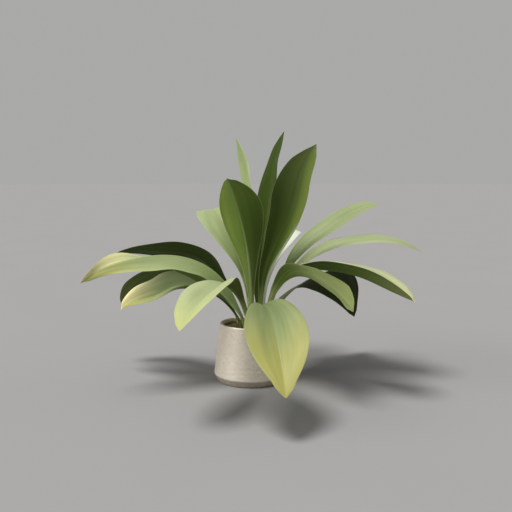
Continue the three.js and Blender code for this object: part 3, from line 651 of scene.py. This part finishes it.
def pot_material():
    n = Net("cast_stone")
    place = n.place()
    _, _, z = n.split(place)
    u, v, _ = n.split(n.uv("PotPattern"))
    broad = n.noise(place, 11.0, 3.0, 0.55, 0.5)
    cloud = n.noise(place, 42.0, 5.0, 0.62, 0.3)
    grain = n.noise(place, 420.0, 4.0, 0.65)
    sand = n.noise(place, 1500.0, 2.0, 0.6)
    colour = n.mix(n.step(broad, 0.32, 0.68), rgb("#d5cbbb"), rgb("#dfd6c5"))
    colour = n.mix(n.math("MULTIPLY", n.step(cloud, 0.45, 0.70), 0.30), colour, rgb("#c8bdac"))
    colour = n.mix(n.math("MULTIPLY", n.step(cloud, 0.46, 0.28), 0.35), colour, rgb("#e8e1d2"))
    # faint level bands and smears left by casting
    x_, y_, _ = n.split(place)
    bands = n.noise(n.xyz(n.math("MULTIPLY", x_, 9.0), n.math("MULTIPLY", y_, 9.0), n.math("MULTIPLY", z, 150.0)), 1.0, 3.0, 0.6, 0.2)
    colour = n.mix(n.math("MULTIPLY", n.step(bands, 0.52, 0.75), 0.18), colour, rgb("#c6bcad"))
    smear = n.noise(n.xyz(n.math("MULTIPLY", x_, 55.0), n.math("MULTIPLY", y_, 55.0), n.math("MULTIPLY", z, 13.0)), 1.0, 3.0, 0.6, 0.6)
    colour = n.mix(n.math("MULTIPLY", n.step(smear, 0.58, 0.78), 0.15), colour, rgb("#bab0a1"))
    # fine sand and specks
    colour = n.mix(n.math("MULTIPLY", n.step(grain, 0.55, 0.75), 0.22), colour, rgb("#b3a899"))
    colour = n.mix(n.math("MULTIPLY", n.step(sand, 0.55, 0.80), 0.20), colour, rgb("#f0ebe1"))
    specks = n.cells(place, 260.0)
    speck = n.math("MULTIPLY", n.step(specks["Distance"], 0.20, 0.10), n.step(n.noise(place, 60.0, 2.0), 0.50, 0.60))
    colour = n.mix(n.math("MULTIPLY", speck, 0.28), colour, rgb("#8f8375"))
    # the chamfer above the foot is darker and browner
    edge = n.math("MULTIPLY_ADD", cloud, 0.004, z)
    low = n.step(edge, 0.0172, 0.0138)
    chamfer_tone = n.mix(n.step(n.noise(place, 70.0, 4.0, 0.65), 0.35, 0.65), rgb("#857868"), rgb("#9f9281"))
    colour = n.mix(n.math("MULTIPLY", low, 0.60), colour, chamfer_tone)
    worn = n.math("MULTIPLY", n.step(z, 0.0125, 0.0145), n.step(z, 0.0190, 0.0165))
    colour = n.mix(n.math("MULTIPLY", worn, n.step(cloud, 0.40, 0.60, 0.1, 0.5)), colour, rgb("#e9e2d6"))
    under = n.step(z, 0.0018, 0.0004)
    colour = n.mix(n.math("MULTIPLY", under, 0.5), colour, rgb("#8b8073"))
    # the lip is worn pale, the inside turns darker and browner further down
    lip = n.step(z, 0.1215, 0.1238)
    colour = n.mix(n.math("MULTIPLY", lip, n.step(grain, 0.30, 0.60, 0.75, 0.35)), colour, rgb("#e6dfd4"))
    inside = n.step(v, 0.735, 0.745)
    inside_depth = n.math("ADD", z, n.math("MULTIPLY_ADD", n.noise(place, 45.0, 3.0, 0.6), 0.010, -0.005))
    colour = n.mix(n.math("MULTIPLY", inside, n.step(inside_depth, 0.1215, 0.1135, 0.15, 0.85)), colour, rgb("#6d6150"))

    pits = n.cells(place, 120.0)
    pit = n.math("MULTIPLY", n.step(pits["Distance"], 0.22, 0.08), n.step(n.noise(place, 34.0, 1.0), 0.55, 0.62))
    colour = n.mix(n.math("MULTIPLY", pit, 0.32), colour, rgb("#6f6458"))
    rough = n.math("MULTIPLY_ADD", grain, 0.16, 0.74)
    rough = n.math("SUBTRACT", rough, n.math("MULTIPLY", lip, 0.10), clamp=True)
    h = n.math("ADD", n.math("MULTIPLY", grain, 0.5), n.math("MULTIPLY", cloud, 0.8))
    h = n.math("ADD", h, n.math("MULTIPLY", sand, 0.2))
    h = n.math("ADD", h, n.math("MULTIPLY", bands, 0.35))
    h = n.math("SUBTRACT", h, n.math("MULTIPLY", pit, 1.4))
    return n.finish(Base_Color=colour, Roughness=rough, Normal=n.bump(h, 0.55, 0.0005), Specular_IOR_Level=0.3)


def pot_piece():
    prof = pot_profile()
    seg = 360
    inner_from = int(np.argmax(prof[:, 1] > POT_HEIGHT - 0.2)) + 5
    m = len(prof)
    theta = np.arange(seg) / seg * 2 * math.pi
    R, Z = prof[1:-1, 0][:, None], prof[1:-1, 1][:, None]
    c, s_ = np.cos(theta)[None], np.sin(theta)[None]
    X, Y = R * c, R * s_
    ZZ = np.broadcast_to(Z, X.shape).copy()
    # cast surface: slightly out of round, softly uneven, with small blow holes
    slow, mid, fine = Waves(301, 3, 12, 0.5, 1.3), Waves(302, 3, 20, 0.7, 1.6), Waves(303, 3, 26, 0.7, 1.7)
    d = 0.30 * slow(X / 60, Y / 60, ZZ / 60) + 0.12 * mid(X / 14, Y / 14, ZZ / 11) + 0.055 * fine(X / 4.6, Y / 4.6, ZZ / 4.2)
    r = np.random.default_rng(304)
    for _ in range(85):
        a, z0 = r.uniform(0, 2 * math.pi), r.uniform(4, 121)
        rad = r.uniform(1.1, 2.2)
        rr = WIDEST_RADIUS + WALL_SLOPE * (z0 - WIDEST_HEIGHT) if z0 > WIDEST_HEIGHT else FOOT_RADIUS + (z0 / WIDEST_HEIGHT) * 7.5
        px, py = rr * math.cos(a), rr * math.sin(a)
        dist = np.sqrt((X - px) ** 2 + (Y - py) ** 2 + (ZZ - z0) ** 2)
        d = d - r.uniform(0.25, 0.6) * smooth(rad, rad * 0.25, dist)
    flat = smooth(0.2, 2.0, ZZ)  # the underside stays flat
    hidden = smooth(90, 108, ZZ) * (np.arange(1, m - 1)[:, None] >= inner_from) + 1.0 * (np.arange(1, m - 1)[:, None] < inner_from)
    d = d * flat * hidden
    # the lip has small chips and dips
    lipf = smooth(122.6, 124.8, ZZ)
    chips = Waves(305, 1, 30, 6, 26)(theta)[None]
    ZZ = ZZ - lipf * (0.12 + 0.16 * np.clip(chips, 0, 2))
    rad0 = np.maximum(R, 1e-6)
    normal_r = np.where(np.arange(1, m - 1)[:, None] >= inner_from, -1.0, 1.0)
    Rn = R + d * normal_r * np.where(lipf > 0.5, 0.4, 1.0)
    X, Y = Rn * c, Rn * s_
    ring = np.stack([X, Y, ZZ], -1).reshape(-1, 3)
    verts = np.vstack([ring, [[0, 0, prof[0, 1]], [0, 0, prof[-1, 1]]]]) * MM
    k = m - 2
    i, j = np.meshgrid(np.arange(k - 1), np.arange(seg), indexing="ij")
    j1 = (j + 1) % seg
    quads = np.stack([i * seg + j, i * seg + j1, (i + 1) * seg + j1, (i + 1) * seg + j], -1).reshape(-1, 4)
    jj = np.arange(seg)
    j2 = (jj + 1) % seg
    b, tcen = k * seg, k * seg + 1
    tris = np.vstack([np.stack([j2, jj, np.full(seg, b)], -1), np.stack([(k - 1) * seg + jj, (k - 1) * seg + j2, np.full(seg, tcen)], -1)])
    arc = np.concatenate([[0], np.cumsum(np.hypot(*np.diff(prof, axis=0).T))])
    arc /= arc[-1]
    V = arc[1:-1]
    lip_at = V[inner_from - 1]
    # v is 0.70 at the top of the lip, whatever the lengths on each side
    V = np.where(V < lip_at, V / lip_at * 0.70, 0.70 + (V - lip_at) / (1 - lip_at) * 0.30)
    V[inner_from + 6:] = np.maximum(V[inner_from + 6:], 0.75)
    u0, u1 = (j / seg).ravel(), ((j + 1) / seg).ravel()
    va, vb = V[i].ravel(), V[i + 1].ravel()
    qm = np.stack([np.stack([u0, va], -1), np.stack([u1, va], -1), np.stack([u1, vb], -1), np.stack([u0, vb], -1)], 1).reshape(-1, 2)
    a0, a1 = jj / seg, (jj + 1) / seg
    bm = np.stack([np.stack([a1, np.full(seg, V[0])], -1), np.stack([a0, np.full(seg, V[0])], -1), np.stack([(a0 + a1) / 2, np.zeros(seg)], -1)], 1).reshape(-1, 2)
    tm = np.stack([np.stack([a0, np.full(seg, V[-1])], -1), np.stack([a1, np.full(seg, V[-1])], -1), np.stack([(a0 + a1) / 2, np.ones(seg)], -1)], 1).reshape(-1, 2)
    ob_q, ob_t, turned = outward(verts, quads, tris)
    m_all = np.vstack([qm, bm, tm])
    if turned:
        nq = len(quads) * 4
        m_all = np.vstack([m_all[:nq].reshape(-1, 4, 2)[:, ::-1].reshape(-1, 2), m_all[nq:].reshape(-1, 3, 2)[:, ::-1].reshape(-1, 2)])
    ob = make_piece("cast_pot", verts, ob_q, ob_t, pot_material(), {"PotPattern": m_all})
    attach(ob, "root")
    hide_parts("pot")
    return ob


pot_piece()


# ---------------------------------------------------------------- soil
SOIL_RADIUS = WIDEST_RADIUS + WALL_SLOPE * (SOIL_TOP - WIDEST_HEIGHT) - WALL - 0.3


def soil_level(x, y):
    """Height of the smoothed soil surface, in mm."""
    r = np.hypot(x, y)
    bumps = 0.5 * np.sin(x * 0.13 + 1) * np.cos(y * 0.11) + 0.45 * np.sin(x * 0.31 - y * 0.27 + 2) + 0.35 * np.cos(x * 0.57 + y * 0.49)
    return SOIL_TOP + 1.28 * bumps - 1.4 * smooth(SOIL_RADIUS - 16, SOIL_RADIUS, r)


def soil_material():
    n = Net("potting_mix")
    place = n.place()
    coarse = n.noise(place, 70.0, 4.0, 0.6, 0.4)
    grain = n.noise(place, 520.0, 4.0, 0.65)
    bits = n.cells(place, 260.0)
    colour = n.mix(n.step(coarse, 0.35, 0.65), rgb("#ad9e74"), rgb("#d6c699"))
    colour = n.mix(n.math("MULTIPLY", n.step(grain, 0.48, 0.72), 0.6), colour, rgb("#bfae7f"))
    hue = n.split(bits["Color"])
    colour = n.mix(n.math("MULTIPLY", n.step(hue[0], 0.62, 0.72), 0.30), colour, rgb("#a98a5c"))
    colour = n.mix(n.math("MULTIPLY", n.step(hue[1], 0.86, 0.90), 0.5), colour, rgb("#b8a884"))
    colour = n.mix(n.math("MULTIPLY", n.step(hue[2], 0.70, 0.85), 0.35), colour, rgb("#4a3f2a"))
    fibre = n.noise(n.node("Mapping", Vector=place, Scale=(900.0, 160.0, 900.0), Rotation=(0, 0, 0.7)).outputs[0], 1.0, 2.0)
    colour = n.mix(n.math("MULTIPLY", n.step(fibre, 0.66, 0.78), 0.35), colour, rgb("#8a6a48"))
    h = n.math("ADD", n.math("MULTIPLY", grain, 0.8), n.math("MULTIPLY", n.step(bits["Distance"], 0.0, 0.6, 1.0, 0.0), 0.6))
    rough = n.math("MULTIPLY_ADD", grain, 0.2, 0.72, clamp=True)
    return n.finish(Base_Color=colour, Roughness=rough, Normal=n.bump(h, 0.8, 0.0010), Specular_IOR_Level=0.25)


FEET = np.array([[p[0], p[1]] for p in LEAVES.values()])


def soil_piece():
    step = 0.72
    R = SOIL_RADIUS
    g = np.arange(-R, R + step, step)
    gx, gy = np.meshgrid(g, g, indexing="ij")
    z = soil_level(gx, gy) - 1.0
    r = np.random.default_rng(77)
    # crumbs of every size
    count = 5200
    ang, rad = r.uniform(0, 2 * math.pi, count), R * np.sqrt(r.uniform(0, 1.02, count))
    size = np.exp(r.normal(math.log(1.25), 0.42, count)).clip(0.7, 4.4)
    for a, q, k in zip(ang, rad, size):
        cx, cy = q * math.cos(a), q * math.sin(a)
        i0, i1 = np.searchsorted(g, [cx - k * 1.3, cx + k * 1.3])
        j0, j1 = np.searchsorted(g, [cy - k * 1.3, cy + k * 1.3])
        sx, sy = gx[i0:i1, j0:j1] - cx, gy[i0:i1, j0:j1] - cy
        turn = r.uniform(0, math.pi)
        u, v = sx * math.cos(turn) + sy * math.sin(turn), -sx * math.sin(turn) + sy * math.cos(turn)
        d = (u / k) ** 2 + (v / (k * r.uniform(0.6, 1.0))) ** 2
        base = soil_level(np.array(cx), np.array(cy)) - 1.0 - k * 0.35 + r.uniform(-0.4, 0.5)
        dome = base + k * 0.95 * np.sqrt(np.clip(1 - d, 0, 1)) + np.where(d < 1, 0, -99)
        z[i0:i1, j0:j1] = np.maximum(z[i0:i1, j0:j1], dome)
    z += 0.10 * Waves(78, 2, 30, 0.5, 1.2)(gx / 2.2, gy / 2.2)
    rr = np.hypot(gx, gy)
    inside = rr <= R
    # points outside the circle are pulled onto it where they close the outline
    cell = inside[:-1, :-1] | inside[1:, :-1] | inside[:-1, 1:] | inside[1:, 1:]
    k = np.minimum(1, R / np.maximum(rr, 1e-6))
    px, py = gx * k, gy * k
    pz = np.where(inside, z, soil_level(px, py) - 1.2)
    idx = -np.ones(gx.shape, int)
    used = np.zeros(gx.shape, bool)
    used[:-1, :-1] |= cell
    used[1:, :-1] |= cell
    used[:-1, 1:] |= cell
    used[1:, 1:] |= cell
    idx[used] = np.arange(used.sum())
    top = np.stack([px[used], py[used], pz[used]], -1)
    ci, cj = np.nonzero(cell)
    quads = np.stack([idx[ci, cj], idx[ci + 1, cj], idx[ci + 1, cj + 1], idx[ci, cj + 1]], -1)
    # outline of the top, then a wall down and a flat bottom
    e = np.vstack([quads[:, [0, 1]], quads[:, [1, 2]], quads[:, [2, 3]], quads[:, [3, 0]]])
    key = {(a, b) for a, b in e.tolist()}
    rimn = {a: b for a, b in key if (b, a) not in key}
    start = next(iter(rimn))
    order = [start]
    while rimn[order[-1]] != start:
        order.append(rimn[order[-1]])
    order = np.array(order)
    n_top, m = len(top), len(order)
    mid = top[order].copy()
    mid[:, 2] = 100.0
    low = top[order].copy()
    low[:, :2] *= 1.04
    low[:, 2] = 60.0
    verts = np.vstack([top, mid, low, [[0, 0, 60.0]]]) * MM
    nxt = (np.arange(m) + 1) % m
    a, b, c = order, n_top + np.arange(m), n_top + m + np.arange(m)
    wall = np.vstack([np.stack([a[nxt], a, b, b[nxt]], -1), np.stack([b[nxt], b, c, c[nxt]], -1)])
    tris = np.stack([c[nxt], c, np.full(m, n_top + 2 * m)], -1)
    q2, t2, _ = outward(verts, np.vstack([quads, wall]), tris)
    ob = make_piece("potting_soil", verts, q2, t2, soil_material())
    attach(ob, "root")
    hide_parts("soil")
    return ob


soil_piece()


# ---------------------------------------------------------------- bark chips on the soil
def chip_material():
    n = Net("bark")
    place = n.place()
    tone = n.split(n.uv("ChipTone"))
    grainy = n.noise(place, 330.0, 4.0, 0.65, 0.5)
    layers = n.noise(n.node("Mapping", Vector=place, Scale=(250.0, 250.0, 1200.0)).outputs[0], 1.0, 3.0, 0.6)
    colour = n.mix(tone[0], rgb("#7d6a48"), rgb("#bb9c6c"))
    colour = n.mix(n.math("MULTIPLY", n.step(layers, 0.48, 0.70), 0.5), colour, rgb("#a67a52"))
    colour = n.mix(n.math("MULTIPLY", n.step(grainy, 0.50, 0.72), 0.40), colour, rgb("#4a3624"))
    h = n.math("ADD", n.math("MULTIPLY", grainy, 0.7), layers)
    return n.finish(Base_Color=colour, Roughness=n.math("MULTIPLY_ADD", grainy, 0.2, 0.65), Normal=n.bump(h, 0.7, 0.0006), Specular_IOR_Level=0.3)


def ball(rows=7, cols=10):
    """Points and faces of a closed round form, radius 1."""
    v = [(0, 0, -1)]
    for i in range(1, rows):
        a = -math.pi / 2 + math.pi * i / rows
        v += [(math.cos(a) * math.cos(2 * math.pi * j / cols), math.cos(a) * math.sin(2 * math.pi * j / cols), math.sin(a)) for j in range(cols)]
    v.append((0, 0, 1))
    tris, quads = [], []
    for j in range(cols):
        k = (j + 1) % cols
        tris.append((0, 1 + k, 1 + j))
        tris.append((len(v) - 1, 1 + (rows - 2) * cols + j, 1 + (rows - 2) * cols + k))
        for i in range(rows - 2):
            quads.append((1 + i * cols + j, 1 + i * cols + k, 1 + (i + 1) * cols + k, 1 + (i + 1) * cols + j))
    return np.array(v, float), np.array(quads), np.array(tris)


def chips_piece():
    r = np.random.default_rng(91)
    v0, q0, t0 = ball()
    V, Q, T, tones = [], [], [], []
    base = 0
    placed = []
    while len(placed) < 120:
        a, q = r.uniform(0, 2 * math.pi), (SOIL_RADIUS - 5) * math.sqrt(r.uniform(0.0, 1))
        x, y = q * math.cos(a), q * math.sin(a)
        if np.hypot(*(FEET - [x, y]).T).min() < 7:
            continue
        size = r.uniform(1.3, 4.2)
        if any(math.hypot(x - c[0], y - c[1]) < (size + c[2]) * 0.75 for c in placed):
            continue
        placed.append((x, y, size))
        shape = np.sign(v0) * np.abs(v0) ** r.uniform(0.55, 0.85)
        wob = Waves(int(r.integers(1e6)), 3, 10, 0.3, 0.9)
        shape = shape * (1 + 0.28 * wob(*v0.T))[:, None]
        shape = shape * [size, size * r.uniform(0.45, 0.8), size * r.uniform(0.22, 0.42)]
        rz, rx, ry = r.uniform(0, 2 * math.pi), r.normal(0, 0.22), r.normal(0, 0.22)
        cx, sx, cy, sy, cz, sz = math.cos(rx), math.sin(rx), math.cos(ry), math.sin(ry), math.cos(rz), math.sin(rz)
        M = np.array([[cz, -sz, 0], [sz, cz, 0], [0, 0, 1]]) @ np.array([[cy, 0, sy], [0, 1, 0], [-sy, 0, cy]]) @ np.array([[1, 0, 0], [0, cx, -sx], [0, sx, cx]])
        pts = shape @ M.T + [x, y, float(soil_level(np.array(x), np.array(y))) + 0.1]
        V.append(pts)
        Q.append(q0 + base)
        T.append(t0 + base)
        tones.append(r.uniform(0, 1))
        base += len(v0)
    Qa, Ta = np.vstack(Q), np.vstack(T)
    per_q, per_t = len(q0), len(t0)
    tone = np.concatenate([np.repeat(tones, per_q * 4), np.repeat(tones, per_t * 3)])
    ob = make_piece("bark_chips", np.vstack(V) * MM, Qa, Ta, chip_material(), {"ChipTone": np.stack([tone, 0 * tone + 0.5], -1)})
    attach(ob, "root")
    return ob


chips_piece()


# ---------------------------------------------------------------- rhizome: knobbly creeping stems, half sunk in the soil
def rhizome_material():
    n = Net("rhizome")
    place = n.place()
    cloud = n.noise(place, 90.0, 4.0, 0.6, 0.4)
    grain = n.noise(place, 600.0, 4.0, 0.65)
    colour = n.mix(n.step(cloud, 0.35, 0.65), rgb("#5d4426"), rgb("#8d7144"))
    colour = n.mix(n.math("MULTIPLY", n.step(grain, 0.50, 0.75), 0.5), colour, rgb("#33241a"))
    _, _, z = n.split(place)
    colour = n.mix(n.math("MULTIPLY", n.step(n.math("MULTIPLY_ADD", cloud, 0.004, z), 0.1165, 0.1135), 0.6), colour, rgb("#3a291d"))
    h = n.math("ADD", grain, cloud)
    return n.finish(Base_Color=colour, Roughness=n.math("MULTIPLY_ADD", grain, 0.15, 0.68), Normal=n.bump(h, 0.6, 0.0007), Specular_IOR_Level=0.3)


def tube(points, radii, sides=18):
    """A closed round tube along points with a radius for each."""
    P = np.asarray(points, float)
    d = unit(np.gradient(P, axis=0))
    ref = np.array([0, 0, 1.0])
    a = unit(np.cross(d, ref))
    b = np.cross(a, d)
    th = np.arange(sides) / sides * 2 * math.pi
    R = np.asarray(radii, float)
    if R.ndim == 1:
        R = R[:, None]
    ring = P[:, None] + (a[:, None] * np.cos(th)[None, :, None] + b[:, None] * np.sin(th)[None, :, None]) * R[..., None]
    m = len(P)
    i, j = np.meshgrid(np.arange(m - 1), np.arange(sides), indexing="ij")
    k = (j + 1) % sides
    quads = np.stack([i * sides + j, i * sides + k, (i + 1) * sides + k, (i + 1) * sides + j], -1).reshape(-1, 4)
    jj = np.arange(sides)
    kk = (jj + 1) % sides
    verts = np.vstack([ring.reshape(-1, 3), [P[0], P[-1]]])
    tris = np.vstack([np.stack([kk, jj, np.full(sides, m * sides)], -1), np.stack([(m - 1) * sides + jj, (m - 1) * sides + kk, np.full(sides, m * sides + 1)], -1)])
    q, t, _ = outward(verts, quads, tris)
    return verts, q, t


def rhizome_piece():
    runs = [
        [(-27, 10), (-16, 6), (-4, 8), (8, 6), (20, 3), (33, 3), (45, 6)],
        [(-22, -10), (-10, -14), (4, -20), (16, -20), (28, -13), (36, -4)],
        [(-8, 20), (2, 19), (12, 18), (24, 18), (34, 17)],
        [(-18, -3), (-6, -5), (6, -4), (17, -6), (24, -2)],
        [(2, -18), (2, -8), (4, 4), (2, 16)],
        [(22, -12), (25, 0), (26, 14)],
    ]
    r = np.random.default_rng(55)
    V, Q, T, base = [], [], [], 0
    for run in runs:
        c = np.array(run, float)
        s = np.linspace(0, 1, 12 * len(run))
        x, y = through(c[:, 0], s), through(c[:, 1], s)
        length = np.concatenate([[0], np.cumsum(np.hypot(np.diff(x), np.diff(y)))])
        z = 109.6 + 0.9 * np.sin(length * 0.21 + r.uniform(0, 6)) - 2.5 * smooth(0.12, 0.0, s) - 2.5 * smooth(0.88, 1.0, s)
        # joints every few millimetres, each a raised ring
        pitch = r.uniform(5.0, 6.5)
        rings = np.exp(-((((length + 1.3 * np.sin(length * 0.4)) / pitch) % 1 - 0.5) / 0.13) ** 2)
        rad = (5.1 + 0.5 * np.sin(length * 0.33 + 1) + 0.75 * rings) * (1 - 0.55 * smooth(0.08, 0, s)) * (1 - 0.55 * smooth(0.92, 1, s))
        th = np.arange(18) / 18 * 2 * math.pi
        knob = Waves(int(r.integers(1e6)), 2, 12, 0.3, 1.0)(length[:, None] / 9, th[None, :] * 0.9)
        v, q, t = tube(np.stack([x, y, z], -1), rad[:, None] + 0.45 * knob)
        V.append(v)
        Q.append(q + base)
        T.append(t + base)
        base += len(v)
    # a round crown bud under each stalk
    v0, q0, t0 = ball(8, 14)
    for x, y in FEET:
        k = r.uniform(4.6, 5.6)
        v = v0 * [k, k, 5.4] + [x, y, 110.2]
        V.append(v)
        Q.append(q0 + base)
        T.append(t0 + base)
        base += len(v0)
    for _ in range(9):
        c = FEET[r.integers(len(FEET))] + r.normal(0, 6, 2)
        v = v0 * [2.4, 2.4, r.uniform(4.5, 7.5)]
        taper = 1 - 0.55 * np.clip(v0[:, 2:3], 0, 1)
        v = np.hstack([v[:, :2] * taper, v[:, 2:]]) + [c[0], c[1], 113.2]
        V.append(v)
        Q.append(q0 + base)
        T.append(t0 + base)
        base += len(v0)
    ob = make_piece("creeping_rhizome", np.vstack(V) * MM, np.vstack(Q), np.vstack(T), rhizome_material())
    mod = ob.modifiers.new("fuse", "REMESH")
    mod.mode, mod.voxel_size, mod.use_smooth_shade = "VOXEL", 0.00085, True
    dg = bpy.context.evaluated_depsgraph_get()
    fused = bpy.data.meshes.new_from_object(ob.evaluated_get(dg))
    ob.modifiers.clear()
    old = ob.data
    ob.data = fused
    bpy.data.meshes.remove(old)
    if not fused.materials:
        fused.materials.append(bpy.data.materials["rhizome"])
    n = len(fused.vertices)
    co = np.zeros(n * 3)
    fused.vertices.foreach_get("co", co)
    no = np.zeros(n * 3)
    fused.vertices.foreach_get("normal", no)
    co, no = co.reshape(-1, 3) / MM, no.reshape(-1, 3)
    # averaged once to lose the voxel steps, then given fine wrinkles
    e = np.zeros(len(fused.edges) * 2, int)
    fused.edges.foreach_get("vertices", e)
    e = e.reshape(-1, 2)
    for _ in range(2):
        acc, cnt = np.zeros_like(co), np.zeros(n)
        for a, b in ((0, 1), (1, 0)):
            np.add.at(acc, e[:, a], co[e[:, b]])
            np.add.at(cnt, e[:, a], 1)
        co = co * 0.4 + 0.6 * acc / cnt[:, None]
    wr = Waves(56, 3, 30, 0.6, 1.4)
    co = co + no * (0.22 * wr(co[:, 0] / 2.6, co[:, 1] / 2.6, co[:, 2] / 1.5))[:, None]
    fused.vertices.foreach_set("co", (co * MM).ravel())
    fused.polygons.foreach_set("use_smooth", [True] * len(fused.polygons))
    fused.update()
    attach(ob, "root")
    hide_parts("rhizome")
    return ob


rhizome_piece()


# ---------------------------------------------------------------- papery sheaths round the feet of the stalks
def sheath_material():
    n = Net("dry_sheath")
    s, v, _ = n.split(n.uv("SheathPattern"))
    place = n.place()
    lines = n.math("PINGPONG", n.math("MULTIPLY", v, 17.0), 0.5)
    cloud = n.noise(place, 120.0, 3.0, 0.6)
    fibre = n.noise(n.xyz(n.math("MULTIPLY", s, 4.0), n.math("MULTIPLY", v, 40.0), 2.0), 1.0, 3.0, 0.6)
    colour = n.mix(n.step(s, 0.1, 0.85), rgb("#92905a"), rgb("#b6b47a"))
    colour = n.mix(n.math("MULTIPLY", n.step(fibre, 0.45, 0.70), 0.3), colour, rgb("#988a56"))
    colour = n.mix(n.math("MULTIPLY", n.step(cloud, 0.45, 0.65), 0.45), colour, rgb("#98a35c"))
    colour = n.mix(n.math("MULTIPLY", n.step(lines, 0.12, 0.0), 0.30), colour, rgb("#6e5c38"))
    colour = n.mix(n.math("MULTIPLY", n.step(s, 0.88, 1.0), 0.5), colour, rgb("#7c6440"))
    h = n.math("ADD", n.math("MULTIPLY", fibre, 0.6), lines)
    return n.finish(Base_Color=colour, Roughness=n.math("MULTIPLY_ADD", cloud, 0.15, 0.55), Normal=n.bump(h, 0.5, 0.0004), Specular_IOR_Level=0.35)


def sheaths_piece():
    r = np.random.default_rng(66)
    V, Q, T, M, base = [], [], [], [], 0
    rows, cols = 16, 17
    for node, p in LEAVES.items():
        for layer in range(2):
            tall = r.uniform(18, 26) if layer == 0 else r.uniform(12, 22)
            turn = r.uniform(0, 2 * math.pi)
            s = np.linspace(-3.0 / p[2], tall / p[2], rows)
            point, along, across, out = leaf_frames(p, s)
            f = np.linspace(0, 1, rows)
            # wraps the stalk below, opens to a pointed tongue above
            span = (2.0 * math.pi * 0.97) * (1 - f ** 1.6) ** 0.9 * 0.5 + 0.05
            gap = p[20] + 0.35 + 0.75 * layer + 0.9 * f ** 2
            th = np.linspace(-1, 1, cols)
            A = turn + span[:, None] * th[None]
            for_side = []
            for thick in (0.0, 0.38):
                rx = (gap[:, None] + thick * (1 - 0.78 * np.abs(th)[None] ** 6) * (1 - 0.5 * f[:, None]))
                rz = rx - p[20] + 2.6
                for_side.append(point[:, None] + across[:, None] * (np.cos(A) * rx)[..., None] + out[:, None] * (np.sin(A) * rz)[..., None])
            inner, outer_ = for_side
            ring = 2 * cols
            loop = np.concatenate([outer_, inner[:, ::-1]], 1)
            verts = loop.reshape(-1, 3)
            i, j = np.meshgrid(np.arange(rows - 1), np.arange(ring), indexing="ij")
            k = (j + 1) % ring
            quads = np.stack([i * ring + j, i * ring + k, (i + 1) * ring + k, (i + 1) * ring + j], -1).reshape(-1, 4)
            cap = []
            for row, flip in ((0, False), (rows - 1, True)):
                o = row * ring
                for c in range(cols - 1):
                    face = [o + c, o + ring - 1 - c, o + ring - 2 - c, o + c + 1]
                    cap.append(face[::-1] if flip else face)
            quads_all = np.vstack([quads, cap])
            q2, _, turned = outward(verts, quads_all, np.zeros((0, 3), int))
            sv = np.repeat(f, ring)
            vv = np.tile(np.concatenate([(th + 1) / 2, (th[::-1] + 1) / 2]), rows)
            uv = np.stack([sv, vv], -1)
            V.append(verts)
            Q.append(q2 + base)
            M.append(uv[q2.ravel()])
            base += len(verts)
    ob = make_piece("stalk_sheaths", np.vstack(V) * MM, np.vstack(Q), np.zeros((0, 3), int), sheath_material(), {"SheathPattern": np.vstack(M)})
    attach(ob, "root")
    return ob


sheaths_piece()


# ---------------------------------------------------------------- floor, light, camera
def floor():
    n = Net("floor")
    place = n.place()
    cloud = n.noise(place, 3.0, 2.0, 0.5)
    n.finish(Base_Color=n.mix(cloud, rgb("#8f8e8e"), rgb("#929191")), Roughness=0.95, Specular_IOR_Level=0.0)
    r, seg = 30.0, 96
    verts = [(0, 0, 0)] + [(r * math.cos(2 * math.pi * i / seg), r * math.sin(2 * math.pi * i / seg), 0) for i in range(seg)]
    tris = [(0, 1 + i, 1 + (i + 1) % seg) for i in range(seg)]
    ob = make_piece("studio_floor", verts, np.zeros((0, 4), int), tris, n.mat, smooth_faces=False)


floor()


def sun(name, toward, power, softness, colour=(1, 1, 1)):
    """A distant soft light that shines from the direction toward."""
    data = bpy.data.lights.new(name, "SUN")
    data.energy, data.angle, data.color = power, softness * RAD, colour
    ob = bpy.data.objects.new(name, data)
    bpy.context.scene.collection.objects.link(ob)
    ob.location = Vector(toward) * 2
    ob.rotation_euler = Vector(toward).to_track_quat("Z", "Y").to_euler()
    return ob


sun("key", (-0.28, -0.16, 1.0), 3.15, 22, (1.0, 0.985, 0.96))
sun("side", (-1.0, -0.30, 0.42), 1.15, 50, (1.0, 0.99, 0.97))

world = bpy.data.worlds.new("studio")
bpy.context.scene.world = world
world.use_nodes = True
bg = world.node_tree.nodes["Background"]
bg.inputs["Color"].default_value = (0.80, 0.80, 0.79, 1)
bg.inputs["Strength"].default_value = 0.50

cam = bpy.data.cameras.new("camera")
cam.lens, cam.sensor_width, cam.sensor_fit = 50.0, 36.0, "HORIZONTAL"
cam_ob = bpy.data.objects.new("camera", cam)
bpy.context.scene.collection.objects.link(cam_ob)
cam_ob.location = (0.0106, -1.522, 0.447)
cam_ob.rotation_euler = ((90 - 6.62) * RAD, 0, 0)
bpy.context.scene.camera = cam_ob
bpy.context.scene.view_settings.view_transform = "Standard"
bpy.context.scene.view_settings.look = "None"
